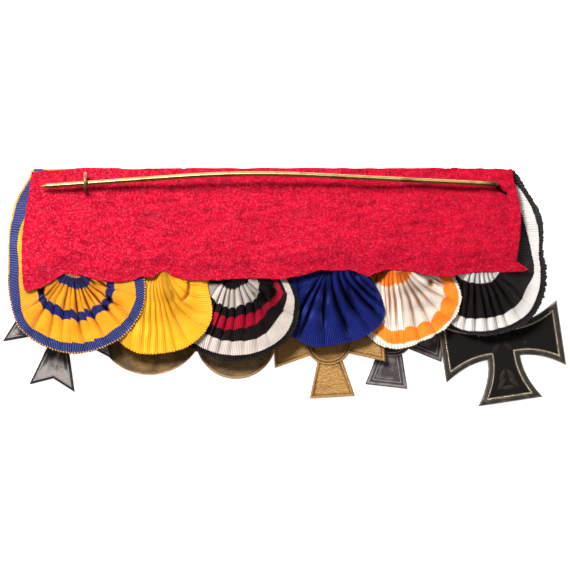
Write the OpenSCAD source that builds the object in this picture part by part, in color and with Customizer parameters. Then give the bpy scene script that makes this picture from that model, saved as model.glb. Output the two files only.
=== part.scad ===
// Mounted medal group lying on its front: six ribbons on a felt-backed bar with a brass pin.
// Millimetres. X runs along the bar, Y towards its top edge and Z up through its back.

/* [Bar] */
// Width of bar that each ribbon takes
pitch = 28.6; // [27:0.1:30]
// Height of the felt back, from its top edge to the mean hem
felt_h = 37.8; // [36:0.2:41]
// Thickness of the felt back
felt_t = 1.6; // [1:0.1:2.5]
// Thickness of the inner felt
core_t = 2; // [1:0.1:2.5]
// Depth of inner felt that shows below the mean hem
core_drop = 3; // [1:0.5:4]
// Gap kept between pieces that lie on each other
lay_gap = 0.2; // [0.1:0.05:0.3]

/* [Ribbons] */
// Woven width of each ribbon
ribbon_w = 30; // [27:0.5:31]
// Thickness of a flat ribbon
ribbon_t = 1; // [1:0.1:1.4]
// Thickness of a pleated fan
fan_t = 1.1; // [1:0.1:1.5]
// Pleats in each fan
pleats = 8; // [5:1:9]
// Height of a pleat above the middle of its sheet
pleat_h = 0.8; // [0.2:0.1:1.1]
// Length of ribbon folded over the top edge to the back
fold_lap = 12; // [6:1:16]
// Width of a ribbon where it passes through its ring
neck_w = 6; // [3:0.5:6.5]

/* [Rings] */
// Diameter of each jump ring, middle to middle of its wire
ring_d = 9; // [8.5:0.1:11]
// Thickness of the ring wire
ring_wire = 0.9; // [0.6:0.1:1]
// Outer diameter of the eyelet soldered to each medal
eyelet_d = 2.8; // [2.6:0.1:3.2]
// Length of each eyelet
eyelet_w = 1.8; // [1.2:0.1:2.4]
// Clearance between a ring wire and the eyelet round it
ring_clear = 0.35; // [0.25:0.05:0.4]

/* [Medals] */
// Width of the swallowtail cross, tip to tip
swallow_w = 40.4; // [36:0.2:42]
// Height of the swallowtail cross, tip to tip
swallow_h = 44; // [38:0.2:46]
// Diameter of the large disc
large_d = 40.4; // [36:0.2:42]
// Diameter of the small disc
small_d = 29.1; // [26:0.1:31]
// Width of the gilt cross
gilt_w = 39.8; // [36:0.2:42]
// Width of the grey cross
grey_w = 37.2; // [34:0.2:39]
// Width of the black cross
black_w = 43.5; // [40:0.1:45]
// Thickness of a struck cross
cross_t = 1.7; // [1.4:0.1:2.2]
// Thickness of a struck disc
disc_t = 2.2; // [1.6:0.1:2.6]
// Thickness of the frame of the black cross
frame_t = 2.4; // [2.2:0.1:3]
// Width of the frame of the black cross
frame_w = 2.5; // [2:0.1:3.2]
// Thickness of the black core
core_plate_t = 1.5; // [1.2:0.1:1.7]
// Width of the raised border of a struck medal
border_w = 1; // [0.6:0.1:1.4]
// Height of cast relief
relief_h = 0.25; // [0.15:0.05:0.3]

/* [Pin] */
// Thickness of the pin wire
pin_d = 2; // [1.6:0.1:2.2]
// Distance from the tip of the pin to its foot
pin_span = 160.4; // [150:0.2:162]
// Distance of the foot of the pin below the top edge
pin_drop = 6.4; // [6:0.2:8]
// Height of the straight pin over the felt near its foot
pin_rise = 2.3; // [2:0.1:3]
// Length of the sharpened tip
tip_len = 2.4; // [1.5:0.1:4]
// Diameter of the catch ring, middle to middle of its wire
catch_d = 6.4; // [6:0.1:8]
// Thickness of the catch wire
catch_wire = 1.1; // [0.8:0.1:1.2]
// Distance of the catch ring from the tip of the pin
catch_from_tip = 15.8; // [12:0.2:24]
// Clearance round a wire that passes through the felt
hole_clear = 0.3; // [0.2:0.05:0.5]

/* [Hidden] */
fine = 48;
bar_w = 6 * pitch;
bar_x = -0.0261 * bar_w;
top_y = 1.1265 * felt_h;
hem_y = top_y - felt_h;

// How each medal hangs, a row for each place on the bar.
// hook: side shift of its ring as a share of pitch. length: ribbon in front as a share of felt_h.
// turn: degrees that the medal has swung in its own plane.
HOOK = 0;
LENGTH = 1;
TURN = 2;
hang = [
    [0.007, 0.751, -9],
    [-0.028, 0.614, 0],
    [0.049, 0.952, 0],
    [0.152, 0.845, 3.5],
    [0.096, 0.817, -6.5],
    [0.223, 0.800, 8.5]];

// Outline of each fan, a row for each: gather place as shares of bar_w and of ribbon_w,
// half-width of the gather, then how far the rim reaches at nine even angles from left to
// right, all as shares of ribbon_w.
GATHER_X = 0;
GATHER_Y = 1;
GATHER_W = 2;
RIM = 3;
fans = [
    [-0.413, 0.00, 0.05, [0.77, 0.81, 0.90, 0.92, 0.94, 0.94, 0.95, 0.91, 0.84]],
    [-0.226, 0.02, 0.05, [0.46, 0.60, 0.88, 1.00, 0.97, 0.91, 0.80, 0.58, 0.51]],
    [-0.078, -0.05, 0.06, [0.60, 0.80, 0.95, 0.98, 0.98, 0.96, 0.95, 0.83, 0.63]],
    [0.138, 0.05, 0.22, [0.48, 0.72, 0.94, 0.96, 0.88, 0.84, 0.77, 0.46, 0.30]],
    [0.251, 0.03, 0.16, [0.24, 0.36, 0.56, 0.80, 0.92, 0.90, 0.92, 0.88, 0.70]],
    [0.434, 0.01, 0.17, [0.42, 0.54, 0.66, 0.71, 0.73, 0.75, 0.79, 0.79, 0.77]]];

// Sides of the felt and its hem. down and across run from 0 to 1, the rest are shares of felt_h.
felt_sides = [
    [0, 0, 0],
    [0.10, 0.012, 0.020],
    [0.30, 0.055, 0.048],
    [0.55, 0.088, 0.066],
    [0.85, 0.082, 0.052],
    [0.95, 0.078, 0.150],
    [1, 0.020, 0.090]];
felt_hem = [
    [0, 0.150],
    [0.05, 0.060],
    [0.09, -0.010],
    [0.17, 0.065],
    [0.27, -0.018],
    [0.32, 0.050],
    [0.50, 0.040],
    [0.60, -0.050],
    [0.69, 0.000],
    [0.72, -0.055],
    [0.83, 0.015],
    [0.88, -0.020],
    [1, -0.030]];

// How far the two outer ribbons stand out past the corners of the bar, from the hem up.
// up runs from 0 at the hem to 1 at the top, the rest are shares of ribbon_w.
wing = [
    [0, 0.265, 0.345],
    [0.16, 0.285, 0.350],
    [0.32, 0.280, 0.378],
    [0.48, 0.240, 0.366],
    [0.62, 0.170, 0.300],
    [0.78, 0.065, 0.180],
    [1, -0.010, -0.005]];

fan_steps = 4 * pleats;
fan_rows = [0, 0.14, 0.35, 0.6, 0.82, 1];
gather_depth = 1.6;
gather_tuck = 2.8;
shingle = 0.066;
flank = 0.72;

function mix(a, b, s) = a + (b - a) * s;
function ease(s) = let (c = min(1, max(0, s))) c * c * (3 - 2 * c);
// Smooth curve through rows whose first column rises, read in another column
function seg(tab, v, i = 0) = i >= len(tab) - 2 || v < tab[i + 1][0] ? i : seg(tab, v, i + 1);
function curve(tab, v, col) = let (
    i = seg(tab, v),
    s = (v - tab[i][0]) / (tab[i + 1][0] - tab[i][0]))
    mix(tab[i][col], tab[i + 1][col], ease(s));
// The same through a list of even steps, with straight tangents
function along(list, u) = let (
    n = len(list) - 1,
    i = min(n - 1, floor(u * n)),
    s = u * n - i,
    a = list[max(0, i - 1)],
    b = list[i],
    c = list[i + 1],
    d = list[min(n, i + 2)])
    b + 0.5 * s * (c - a + s * (2 * a - 5 * b + 4 * c - d + s * (3 * (b - c) + d - a)));

// Where each strip, ring, eyelet and medal lies, from the top edge down
sizes = [swallow_w, large_d, small_d, gilt_w, grey_w, black_w];
thick = [cross_t, disc_t, disc_t - 0.4, cross_t, cross_t - 0.1, frame_t];
tail_notch = 0.178 * swallow_w / 2;
eyelet_rise = 1.2;
top_reach = [for (i = [0:5]) i == 0 ? swallow_h / 2 - tail_notch : sizes[i] / 2];
function up(i) = [-sin(hang[i][TURN]), cos(hang[i][TURN])];
function strip_x(i) = bar_x + (i - 2.5) * pitch;
function hook(i) = [strip_x(i) + hang[i][HOOK] * pitch, top_y - hang[i][LENGTH] * felt_h];
function ring_at(i) = hook(i) - [0, ring_d / 2];
function eye_at(i) = ring_at(i) - up(i) * ring_d / 2;
function medal_at(i) = eye_at(i) - up(i) * (eyelet_rise + top_reach[i]);

// Half of each medal's spread along X, with its turn
end_half = [0.2 * swallow_w, 0, 0, 0.207 * gilt_w, 0.206 * grey_w, 0.273 * black_w];
spread = [for (i = [0:5]) i == 1 || i == 2 ? sizes[i] / 2
    : sizes[i] / 2 * cos(hang[i][TURN]) + end_half[i] * abs(sin(hang[i][TURN]))];
function low_x(i) = medal_at(i)[0] - spread[i];
function high_x(i) = medal_at(i)[0] + spread[i];

// A medal that overlaps the next one leans on it, low at the far side
rest_gap = 0.3;
nod_lift = max(0, eyelet_d / 2 - thick[4] / 2);
function over(gap_h, run) = asin(min(0.4, gap_h / max(run, 1)));
function lean_on(i, j_low, j_top, slope, from, lap_w) =
    lap_w <= 0 ? 0 : max(over(j_top + rest_gap, from),
        over(j_top + rest_gap + lap_w * slope, 2 * spread[i]));
lean4 = lean_on(3, low_x(4), thick[4] + nod_lift, 0, low_x(4) - low_x(3), high_x(3) - low_x(4));
lean3 = lean_on(2, low_x(3), thick[3], sin(lean4), low_x(3) - low_x(2), high_x(2) - low_x(3));
lean2 = lean_on(1, low_x(2), thick[2], sin(lean3), low_x(2) - low_x(1), high_x(1) - low_x(2));
lean1 = lean_on(0, low_x(1), thick[1], sin(lean2), low_x(1) - low_x(0), high_x(0) - low_x(1));
lean6 = -lean_on(5, high_x(4), thick[4] + nod_lift, 0, high_x(5) - high_x(4), high_x(4) - low_x(5));
lean = [lean1, lean2, lean3, lean4, 0, lean6];
nod = [0, 0, 0, 0, asin(nod_lift / grey_w), 0];
mid_z = [for (i = [0:5]) thick[i] / 2 + spread[i] * sin(abs(lean[i]))
    + sizes[i] / 2 * sin(nod[i]) + 0.02];
stack_top = max([for (i = [0:5]) mid_z[i] + spread[i] * sin(abs(lean[i])) + thick[i] / 2]);
function eye_z(i) = mid_z[i] + (eye_at(i)[1] - medal_at(i)[1]) * tan(nod[i])
    + (eye_at(i)[0] - medal_at(i)[0]) * tan(lean[i]);

// Fans side by side stand a fixed step apart where they overlap, whatever their spacing
fan_step = fan_t + lay_gap + 1.6 * pleat_h;
function fan_lift(i) = i == 5 ? 0
    : max(0, fan_lift(i + 1) + fan_step
        - shingle * bar_w * (fans[i + 1][GATHER_X] - fans[i][GATHER_X]));
lift_top = max([for (i = [0:5]) fan_lift(i)]);

// Levels, from the table up
core_z = ribbon_t + lay_gap;
back_z = core_z + core_t + lay_gap;
seat_z = back_z + ribbon_t + lay_gap;
wing_z = seat_z + fan_t / 2;
fan_z = stack_top + lay_gap + shingle * flank * ribbon_w + fan_t / 2 + 0.2;
hem_z = fan_z + lift_top + shingle * flank * ribbon_w + fan_t / 2 + 2 * lay_gap;
end_z = wing_z + fan_t / 2 + lay_gap;
far_z = ribbon_t + lay_gap + ring_wire / 2 + 0.2;

// Underside of the felt: down runs from its top edge, across from its left end
function felt_under(across, down) = let (
    ends = 1 - ease((across - 0.2) / 0.1) * ease((0.8 - across) / 0.1),
    seat = mix(seat_z, end_z, ends),
    swell = 0.12 * sin(360 * 3 * across + 40) * sin(180 * down))
    mix(seat, hem_z, min(1, down / 0.78)) + swell * ease(down / 0.3);
function felt_xy(across, down) = let (
    left = bar_x - bar_w / 2 - felt_h * curve(felt_sides, down, 1),
    right = bar_x + bar_w / 2 + felt_h * curve(felt_sides, down, 2),
    low = hem_y - felt_h * curve(felt_hem, across, 1))
    [mix(left, right, across), mix(top_y - lay_gap, low, down)];
function felt_top(x, y) = let (
    across = (x - bar_x) / bar_w + 0.5,
    down = (top_y - y) / felt_h)
    felt_under(across, down) + felt_t;

// A closed wall from a grid of points on its middle surface, with an even thickness in Z
module sheet(grid, t) {
    rows = len(grid);
    cols = len(grid[0]);
    n = rows * cols;
    lift = [0, 0, t / 2];
    pts = concat([for (r = grid) for (p = r) p + lift], [for (r = grid) for (p = r) p - lift]);
    top = [for (j = [0:rows - 2]) for (i = [0:cols - 2]) let (a = j * cols + i)
        each [[a, a + 1, a + cols + 1], [a, a + cols + 1, a + cols]]];
    under = [for (f = top) [f[2] + n, f[1] + n, f[0] + n]];
    loop = concat([for (i = [0:cols - 2]) i], [for (j = [0:rows - 2]) j * cols + cols - 1],
        [for (i = [cols - 1:-1:1]) (rows - 1) * cols + i], [for (j = [rows - 1:-1:1]) j * cols]);
    m = len(loop);
    edge = [for (k = [0:m - 1]) let (a = loop[k], b = loop[(k + 1) % m])
        each [[b, a, a + n], [b, a + n, b + n]]];
    polyhedron(pts, concat(top, under, edge), convexity = 8);
}

// Moves each side of a closed outline inwards by d
function unit(v) = v / norm(v);
function inset(path, d) = let (n = len(path)) [for (i = [0:n - 1]) let (
    p = path[i],
    a = unit(p - path[(i + n - 1) % n]),
    b = unit(path[(i + 1) % n] - p),
    na = [-a[1], a[0]],
    nb = [-b[1], b[0]])
    p + d * (na + nb) / (1 + na * nb)];
function spin(p, a) = [p[0] * cos(a) - p[1] * sin(a), p[0] * sin(a) + p[1] * cos(a)];

// Four-armed cross: wide is its reach, e half an arm's end, c the inner corner,
// notch the cut in an arm's end, bend how far the sides curve in, 1 for straight,
// tall the reach of the upper and lower arms
function cross(wide, e, c, notch = 0, bend = 1, steps = 1, tall = 0) = [for (q = [0:3]) let (
    half = q % 2 == 1 && tall > 0 ? tall : wide,
    lower = [for (k = [1:steps]) let (s = k / steps) [mix(c, half, s), -mix(c, e, pow(s, bend))]],
    mid = notch > 0 ? [[half - notch, 0]] : [],
    upper = [for (k = [steps:-1:0]) let (s = k / steps) [mix(c, half, s), mix(c, e, pow(s, bend))]])
    each [for (p = concat(lower, mid, upper)) spin(p, q * 90)]];

module slab(path, t, z = 0) {
    translate([0, 0, z - t / 2]) linear_extrude(t) polygon(path);
}

// Struck cross: a plate with raised borders on both faces
module struck(path, t, w = border_w) {
    field = inset(path, w);
    difference() {
        slab(path, t);
        slab(field, 2 * relief_h, t / 2);
        slab(field, 2 * relief_h, -t / 2);
    }
}

// Eyelet soldered above a medal's top, for a ring that lies in the medal's plane
module eyelet(i) {
    translate([0, top_reach[i] + eyelet_rise, 0]) rotate([0, 90, 0]) difference() {
        cylinder(d = eyelet_d, h = eyelet_w, center = true, $fn = fine);
        cylinder(d = ring_wire + 2 * ring_clear, h = eyelet_w + 1, center = true, $fn = fine);
    }
}

module pose(i) {
    p = medal_at(i);
    translate([p[0], p[1], mid_z[i]]) rotate([nod[i], -lean[i], 0]) rotate(hang[i][TURN]) children();
}

module ring_band(r, w, t, z) {
    translate([0, 0, z]) difference() {
        cylinder(r = r, h = t, center = true, $fn = fine);
        cylinder(r = r - w, h = t + 1, center = true, $fn = fine);
    }
}

// Leaf of two arcs, along X
module leaf(l, w, t) {
    r = (l * l / 4 + w * w / 4) / w;
    intersection() {
        translate([0, r - w / 2, 0]) cylinder(r = r, h = t, center = true, $fn = fine);
        translate([0, w / 2 - r, 0]) cylinder(r = r, h = t, center = true, $fn = fine);
    }
}

module swallowtail_cross() {
    t = thick[0];
    color("silver") pose(0) {
        struck(cross(swallow_w / 2, end_half[0], 0.056 * swallow_w, tail_notch, tall = swallow_h / 2), t);
        cylinder(r = 0.17 * swallow_w, h = t, center = true, $fn = fine);
        eyelet(0);
    }
}

// Disc with a raised rim on both faces and a sunk field
module disc(d, t) {
    difference() {
        cylinder(d = d, h = t, center = true, $fn = fine);
        for (s = [-1, 1]) translate([0, 0, s * t / 2])
            cylinder(d = d - 2 * border_w, h = 2 * relief_h, center = true, $fn = fine);
    }
}

module large_disc() {
    t = thick[1];
    color("saddlebrown") pose(1) {
        disc(large_d, t);
        eyelet(1);
        for (a = [200:20:340]) rotate(a) translate([0.36 * large_d, 0, t / 2 - relief_h])
            rotate(60) leaf(0.13 * large_d, 0.05 * large_d, 2 * relief_h);
        for (a = [0:40:320]) rotate(a) translate([0.33 * large_d, 0, relief_h - t / 2])
            rotate(70) leaf(0.14 * large_d, 0.05 * large_d, 2 * relief_h);
    }
}

module small_disc() {
    t = thick[2];
    color("peru") pose(2) {
        disc(small_d, t);
        eyelet(2);
        for (a = [195:15:345]) rotate(a) translate([0.40 * small_d, 0, t / 2 - relief_h])
            cube([0.11 * small_d, 0.012 * small_d, 2 * relief_h], center = true);
        translate([0, -0.27 * small_d, t / 2 - relief_h])
            cube([0.42 * small_d, 0.016 * small_d, 2 * relief_h], center = true);
        for (a = [0:45:315]) rotate(a) translate([0.26 * small_d, 0, relief_h - t / 2])
            rotate(80) leaf(0.16 * small_d, 0.06 * small_d, 2 * relief_h);
    }
}

// Round centre with two raised rings on both faces of a cross
module boss(w, t) {
    r = 0.208 * w;
    cylinder(r = r, h = t, center = true, $fn = fine);
    for (s = [-1, 1]) {
        ring_band(r, 0.022 * w, relief_h, s * (t + relief_h) / 2);
        ring_band(0.82 * r, 0.018 * w, relief_h, s * (t + relief_h) / 2);
    }
}

module gilt_cross() {
    t = thick[3];
    color("goldenrod") pose(3) {
        struck(cross(gilt_w / 2, end_half[3], 0.09 * gilt_w), t);
        boss(gilt_w, t - relief_h);
        eyelet(3);
    }
}

module grey_cross() {
    t = thick[4];
    outer = cross(grey_w / 2, end_half[4], 0.095 * grey_w);
    color("dimgray") pose(4) {
        struck(outer, t, 0.6 * border_w);
        for (s = [-1, 1]) difference() {
            slab(inset(outer, 1.1 * border_w), relief_h, s * (t / 2 - relief_h / 2));
            slab(inset(outer, 1.6 * border_w), 2 * relief_h, s * (t / 2 - relief_h / 2));
        }
        boss(grey_w, t - relief_h);
        eyelet(4);
    }
}

black_path = cross(black_w / 2, end_half[5], 0.136 * black_w, 0, 1.9, 6);
groove = 0.9;

module black_cross_frame() {
    color("gray") pose(5) {
        difference() {
            slab(black_path, frame_t);
            slab(inset(black_path, frame_w), frame_t + 1);
            slab(inset(black_path, frame_w - groove), core_plate_t + lay_gap);
        }
        eyelet(5);
    }
}

module black_cross_core() {
    seat = inset(black_path, frame_w - groove + lay_gap / 2);
    rise = (core_plate_t + relief_h) / 2;
    color("black") pose(5) {
        slab(seat, core_plate_t);
        for (a = [45:90:315]) rotate(a) translate([0.055 * black_w, 0, rise])
            leaf(0.09 * black_w, 0.04 * black_w, relief_h);
        translate([0, -0.28 * black_w, rise]) for (a = [0:60:120]) rotate(a)
            leaf(0.10 * black_w, 0.03 * black_w, relief_h);
    }
}

// A jump ring through its medal's eyelet, rising to the ribbon that holds it
module jump_ring(i) {
    e = eye_at(i);
    z0 = eye_z(i);
    tilt = asin((max(far_z, z0) - z0) / ring_d);
    color("silver") translate([e[0], e[1], z0]) rotate(hang[i][TURN]) rotate([tilt, 0, 0])
        translate([0, ring_d / 2, 0]) rotate_extrude($fn = fine)
        translate([ring_d / 2, 0]) circle(d = ring_wire, $fn = 24);
}

// Flat ribbon: lap behind the top edge, front run, then up through its ring and back
module ribbon_strip(i, tint) {
    h = hook(i);
    x = strip_x(i);
    half = pitch / 2 - lay_gap / 2;
    wire_z = max(far_z, eye_z(i));
    back = wire_z + ring_wire / 2 + lay_gap;
    bend = ring_wire / 2 + neck_w * neck_w / 4 / ring_d + 2 * lay_gap;
    fold = top_y - ribbon_t;
    foot = h[1] - bend - ribbon_t;
    tail = h[1] + 3;
    profile = [[top_y, 0], [top_y, back_z + ribbon_t], [top_y - fold_lap, back_z + ribbon_t],
        [top_y - fold_lap, back_z], [fold, back_z], [fold, ribbon_t], [foot + ribbon_t, ribbon_t],
        [foot + ribbon_t, back], [tail, back], [tail, back + ribbon_t], [foot, back + ribbon_t],
        [foot, 0]];
    wide = h[1] + 8;
    plan = [[x - half, top_y + 1], [x - half, wide], [h[0] - neck_w / 2, tail + 0.3],
        [h[0] - neck_w / 2, foot - 1], [h[0] + neck_w / 2, foot - 1],
        [h[0] + neck_w / 2, tail + 0.3], [x + half, wide], [x + half, top_y + 1]];
    color(tint) intersection() {
        rotate([90, 0, 90]) translate([0, 0, x - pitch]) linear_extrude(2 * pitch) polygon(profile);
        translate([0, 0, -1]) linear_extrude(back_z + ribbon_t + 9) polygon(plan);
    }
}

// One crosswise line of a fan: at angle share u, from gather to rim
function fan_line(i, u) = let (
    f = fans[i],
    centre = [bar_x + bar_w * f[GATHER_X], hem_y + ribbon_w * f[GATHER_Y]],
    a = 180 + 180 * u,
    wide = ribbon_w * f[GATHER_W],
    inner = centre + [(wide + gather_depth) * cos(a), gather_tuck + gather_depth * sin(a)],
    rim = centre + along(f[RIM], u) * ribbon_w * [cos(a), sin(a)])
    [inner, rim, centre];

// Sheet height: each fan rises to the right, so that it lies over the next one
function fan_high(i, p, centre, u, v) = let (
    side = ease(5 * u) * ease(5 * (1 - u)),
    wave = cos(360 * pleats * u),
    body = mix(0.35, 1, ease(v / 0.3)) * mix(1, 0.3, ease((v - 0.45) / 0.5)))
    fan_z + fan_lift(i) + shingle * (p[0] - centre[0]) + pleat_h * wave * side * body;

// Wing: the ribbon's run from the fan up behind the felt to the top edge
function wing_line(i, s) = let (
    left = i == 0,
    k = left ? -1 : 1,
    corner = bar_x + k * bar_w / 2,
    line = fan_line(i, left ? 0 : 1),
    y = mix(line[1][1], top_y - 0.8, s),
    out = corner + k * ribbon_w * curve(wing, s, left ? 1 : 2),
    in_x = mix(line[0][0], corner - k * 0.9 * ribbon_w, ease(s)),
    in_y = mix(line[0][1], top_y - 0.8, s))
    [[in_x, in_y], [mix(line[1][0], out, ease(s / 0.12)), y], line[2]];
function wing_high(i, p, c, s) = let (base = fan_z + fan_lift(i) + shingle * (p[0] - c[0]))
    mix(base, wing_z, ease(s / 0.9));

module ribbon_fan(i, tint) {
    fan = [for (k = [0:fan_steps]) let (u = k / fan_steps, l = fan_line(i, u))
        [for (v = fan_rows) let (p = mix(l[0], l[1], v)) [p[0], p[1], fan_high(i, p, l[2], u, v)]]];
    climb = [for (s = [0.1, 0.2, 0.34, 0.48, 0.62, 0.78, 1]) let (l = wing_line(i, s))
        [for (v = fan_rows) let (p = mix(l[0], l[1], v)) [p[0], p[1], wing_high(i, p, l[2], s)]]];
    turned = [for (k = [len(climb) - 1:-1:0]) climb[k]];
    lines = i == 0 ? concat(turned, fan) : i == 5 ? concat(fan, climb) : fan;
    color(tint) sheet(lines, fan_t);
}

// Pin: straight, a soft bend at its middle, straight, then down through the felt
pin_left = [bar_x - bar_w / 2 + 0.020 * bar_w, top_y - pin_drop - 0.2];
pin_lean = 28;
left_slope = 4.6;
right_slope = 3.2;
bow_run = 0.303 * pin_span;
bow_r = bow_run / (sin(left_slope) + sin(right_slope));
left_run = 0.304 * pin_span;
right_run = pin_span - left_run - bow_run;
foot_z = felt_top(pin_left[0] + pin_span, pin_left[1]) + pin_rise + pin_d / 2;
elbow_r = 2;
// A bend is drawn a hair thinner than the straights, which reach into it
bend_d = pin_d - 0.1;
bend_lap = 0.8;

// Turns the flat pin about its ends' line, so that it bows up and towards the top edge
module on_pin_plane() {
    translate([pin_left[0], pin_left[1], foot_z]) rotate([pin_lean, 0, 0]) children();
}

left_rise = left_run * tan(left_slope);
bow_rise = bow_r * (cos(right_slope) - cos(left_slope));
right_start = [left_run + bow_run, left_rise + bow_rise];
elbow_at = [pin_span, right_start[1] - right_run * tan(right_slope)];
elbow_y = elbow_at[1] * cos(pin_lean);
elbow_z = elbow_at[1] * sin(pin_lean);
pin_end_z = felt_top(pin_left[0] + pin_span + elbow_r, pin_left[1] + elbow_y) - felt_t;

module pin_wire() {
    color("gold") {
        on_pin_plane() {
            rotate([0, 0, left_slope]) rotate([0, 90, 0]) {
                cylinder(d1 = 0.3, d2 = pin_d, h = tip_len, $fn = 24);
                translate([0, 0, tip_len])
                    cylinder(d = pin_d, h = left_run / cos(left_slope) - tip_len + bend_lap, $fn = fine);
            }
            translate([left_run + bow_r * sin(left_slope), left_rise - bow_r * cos(left_slope), 0])
                rotate(90 - right_slope) rotate_extrude(angle = left_slope + right_slope, $fn = 360)
                translate([bow_r, 0]) circle(d = bend_d, $fn = 24);
            translate([right_start[0], right_start[1], 0]) rotate([0, 0, -right_slope])
                rotate([0, 90, 0]) translate([0, 0, -bend_lap])
                cylinder(d = pin_d, h = right_run / cos(right_slope) + 2 * bend_lap, $fn = fine);
        }
        translate([pin_left[0] + pin_span, pin_left[1] + elbow_y, foot_z + elbow_z]) {
            translate([0, 0, -elbow_r]) rotate([90, 0, 0]) rotate_extrude(angle = 90, $fn = fine)
                translate([elbow_r, 0]) circle(d = bend_d, $fn = 24);
            translate([elbow_r, 0, pin_end_z - foot_z - elbow_z])
                cylinder(d = pin_d, h = foot_z + elbow_z - elbow_r - pin_end_z + bend_lap, $fn = fine);
        }
    }
}

// Catch ring: an upright ring with a stem that goes down through the felt
catch_x = pin_left[0] + catch_from_tip;
catch_y = pin_left[1] + catch_from_tip * tan(left_slope) * cos(pin_lean) + 0.3;
catch_z = felt_top(catch_x, catch_y) + lay_gap + (catch_d + catch_wire) / 2;

module catch_ring() {
    color("gold") {
        translate([catch_x, catch_y, catch_z]) rotate([0, 90, 0]) rotate_extrude($fn = fine)
            translate([catch_d / 2, 0]) circle(d = catch_wire, $fn = 24);
        translate([catch_x, catch_y, seat_z + fan_t + 3 * lay_gap])
            cylinder(d = catch_wire, h = catch_z - catch_d / 2 - seat_z - fan_t - 3 * lay_gap, $fn = fine);
    }
}

module felt_back() {
    downs = [0, 0.06, 0.16, 0.21, 0.27, 0.4, 0.55, 0.7, 0.78, 0.88, 0.95, 1];
    crease = 0.12 * felt_t;
    grid = [for (d = downs) [for (k = [0:26]) let (
        a = k / 26,
        p = felt_xy(a, d),
        dent = crease * exp(-pow((d - 0.21) / 0.05, 2)) * sin(180 * a))
        [p[0], p[1], felt_under(a, d) + felt_t / 2 - dent]]];
    color("crimson") difference() {
        sheet([for (r = [len(grid) - 1:-1:0]) grid[r]], felt_t);
        translate([pin_left[0] + pin_span + elbow_r, pin_left[1] + elbow_y, 0])
            cylinder(d = pin_d + 2 * hole_clear, h = 40, $fn = 12);
        translate([catch_x, catch_y, 0]) cylinder(d = catch_wire + 2 * hole_clear, h = 40, $fn = 12);
    }
}

// Inner felt between the front ribbons and the back, cut away round medals, rings and ribbon tails
module felt_core() {
    side = 1.2;
    low = hem_y - core_drop;
    color("firebrick") difference() {
        translate([bar_x - bar_w / 2 + side, low, core_z])
            cube([bar_w - 2 * side, top_y - ribbon_t - lay_gap - low, core_t]);
        for (i = [0:5]) {
            h = hook(i);
            m = medal_at(i);
            half = max(sizes[i], i == 0 ? swallow_h : 0) / 2;
            reach = i == 1 || i == 2 ? half : norm([half, end_half[i]]);
            translate([h[0] - ring_d / 2 - 1.3, low - 1, 0])
                cube([ring_d + 2.6, h[1] + 4 - low + 1, 9]);
            translate([m[0], m[1], 0]) cylinder(r = reach + 1, h = 9, $fn = fine);
        }
    }
}

felt_back();
felt_core();
pin_wire();
catch_ring();
ribbon_strip(0, "orange");  // ribbon_strip_1
ribbon_strip(1, "gold");  // ribbon_strip_2
ribbon_strip(2, "darkslategray");  // ribbon_strip_3
ribbon_strip(3, "mediumblue");  // ribbon_strip_4
ribbon_strip(4, "oldlace");  // ribbon_strip_5
ribbon_strip(5, "dimgray");  // ribbon_strip_6
ribbon_fan(0, "orange");  // ribbon_fan_1
ribbon_fan(1, "gold");  // ribbon_fan_2
ribbon_fan(2, "darkslategray");  // ribbon_fan_3
ribbon_fan(3, "mediumblue");  // ribbon_fan_4
ribbon_fan(4, "oldlace");  // ribbon_fan_5
ribbon_fan(5, "dimgray");  // ribbon_fan_6
swallowtail_cross();
large_disc();
small_disc();
gilt_cross();
grey_cross();
black_cross_frame();
black_cross_core();
jump_ring(0);  // jump_ring_1
jump_ring(1);  // jump_ring_2
jump_ring(2);  // jump_ring_3
jump_ring(3);  // jump_ring_4
jump_ring(4);  // jump_ring_5
jump_ring(5);  // jump_ring_6
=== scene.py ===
import math

import bpy
import numpy as np
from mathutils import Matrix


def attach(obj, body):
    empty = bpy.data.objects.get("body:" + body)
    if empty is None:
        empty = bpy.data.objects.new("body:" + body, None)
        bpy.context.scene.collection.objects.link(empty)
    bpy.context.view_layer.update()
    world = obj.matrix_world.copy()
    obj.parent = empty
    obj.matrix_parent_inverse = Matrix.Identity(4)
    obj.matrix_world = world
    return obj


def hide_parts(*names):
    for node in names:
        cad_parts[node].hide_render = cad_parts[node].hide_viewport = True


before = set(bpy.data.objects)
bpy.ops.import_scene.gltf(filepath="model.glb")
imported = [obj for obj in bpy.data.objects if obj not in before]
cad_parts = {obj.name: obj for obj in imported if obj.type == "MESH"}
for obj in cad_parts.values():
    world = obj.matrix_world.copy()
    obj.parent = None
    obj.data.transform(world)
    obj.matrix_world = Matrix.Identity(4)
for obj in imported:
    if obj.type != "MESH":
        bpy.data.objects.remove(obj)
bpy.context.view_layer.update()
scene = bpy.context.scene
mm = 0.001
print("frame loaded")


# from a to b as s goes from 0 to 1
def mix(a, b, s):
    return a + (b - a) * s


# 0 to 1 with soft ends: s * s * (3 - 2 * s)
def ease(s):
    s = np.clip(s, 0, 1)
    return s * s * (3 - 2 * s)


# a bump of height 1 that falls off as exp(-s * s)
def bell(s):
    return np.exp(-s ** 2)


# rows of (place, value) read at s, straight from row to row
def straight(rows, s):
    rows = np.array(rows, float)
    return np.interp(s, rows[:, 0], rows[:, 1])


# value read between edges that may differ from point to point: each pair adds its own share
def between(place, edges, values):
    out = np.full(np.shape(place), float(values[0]))
    for low, high, rise in zip(edges[:-1], edges[1:], np.diff(values)):
        out = out + rise * np.clip((place - low) / np.maximum(high - low, 1e-6), 0, 1)
    return out


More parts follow.
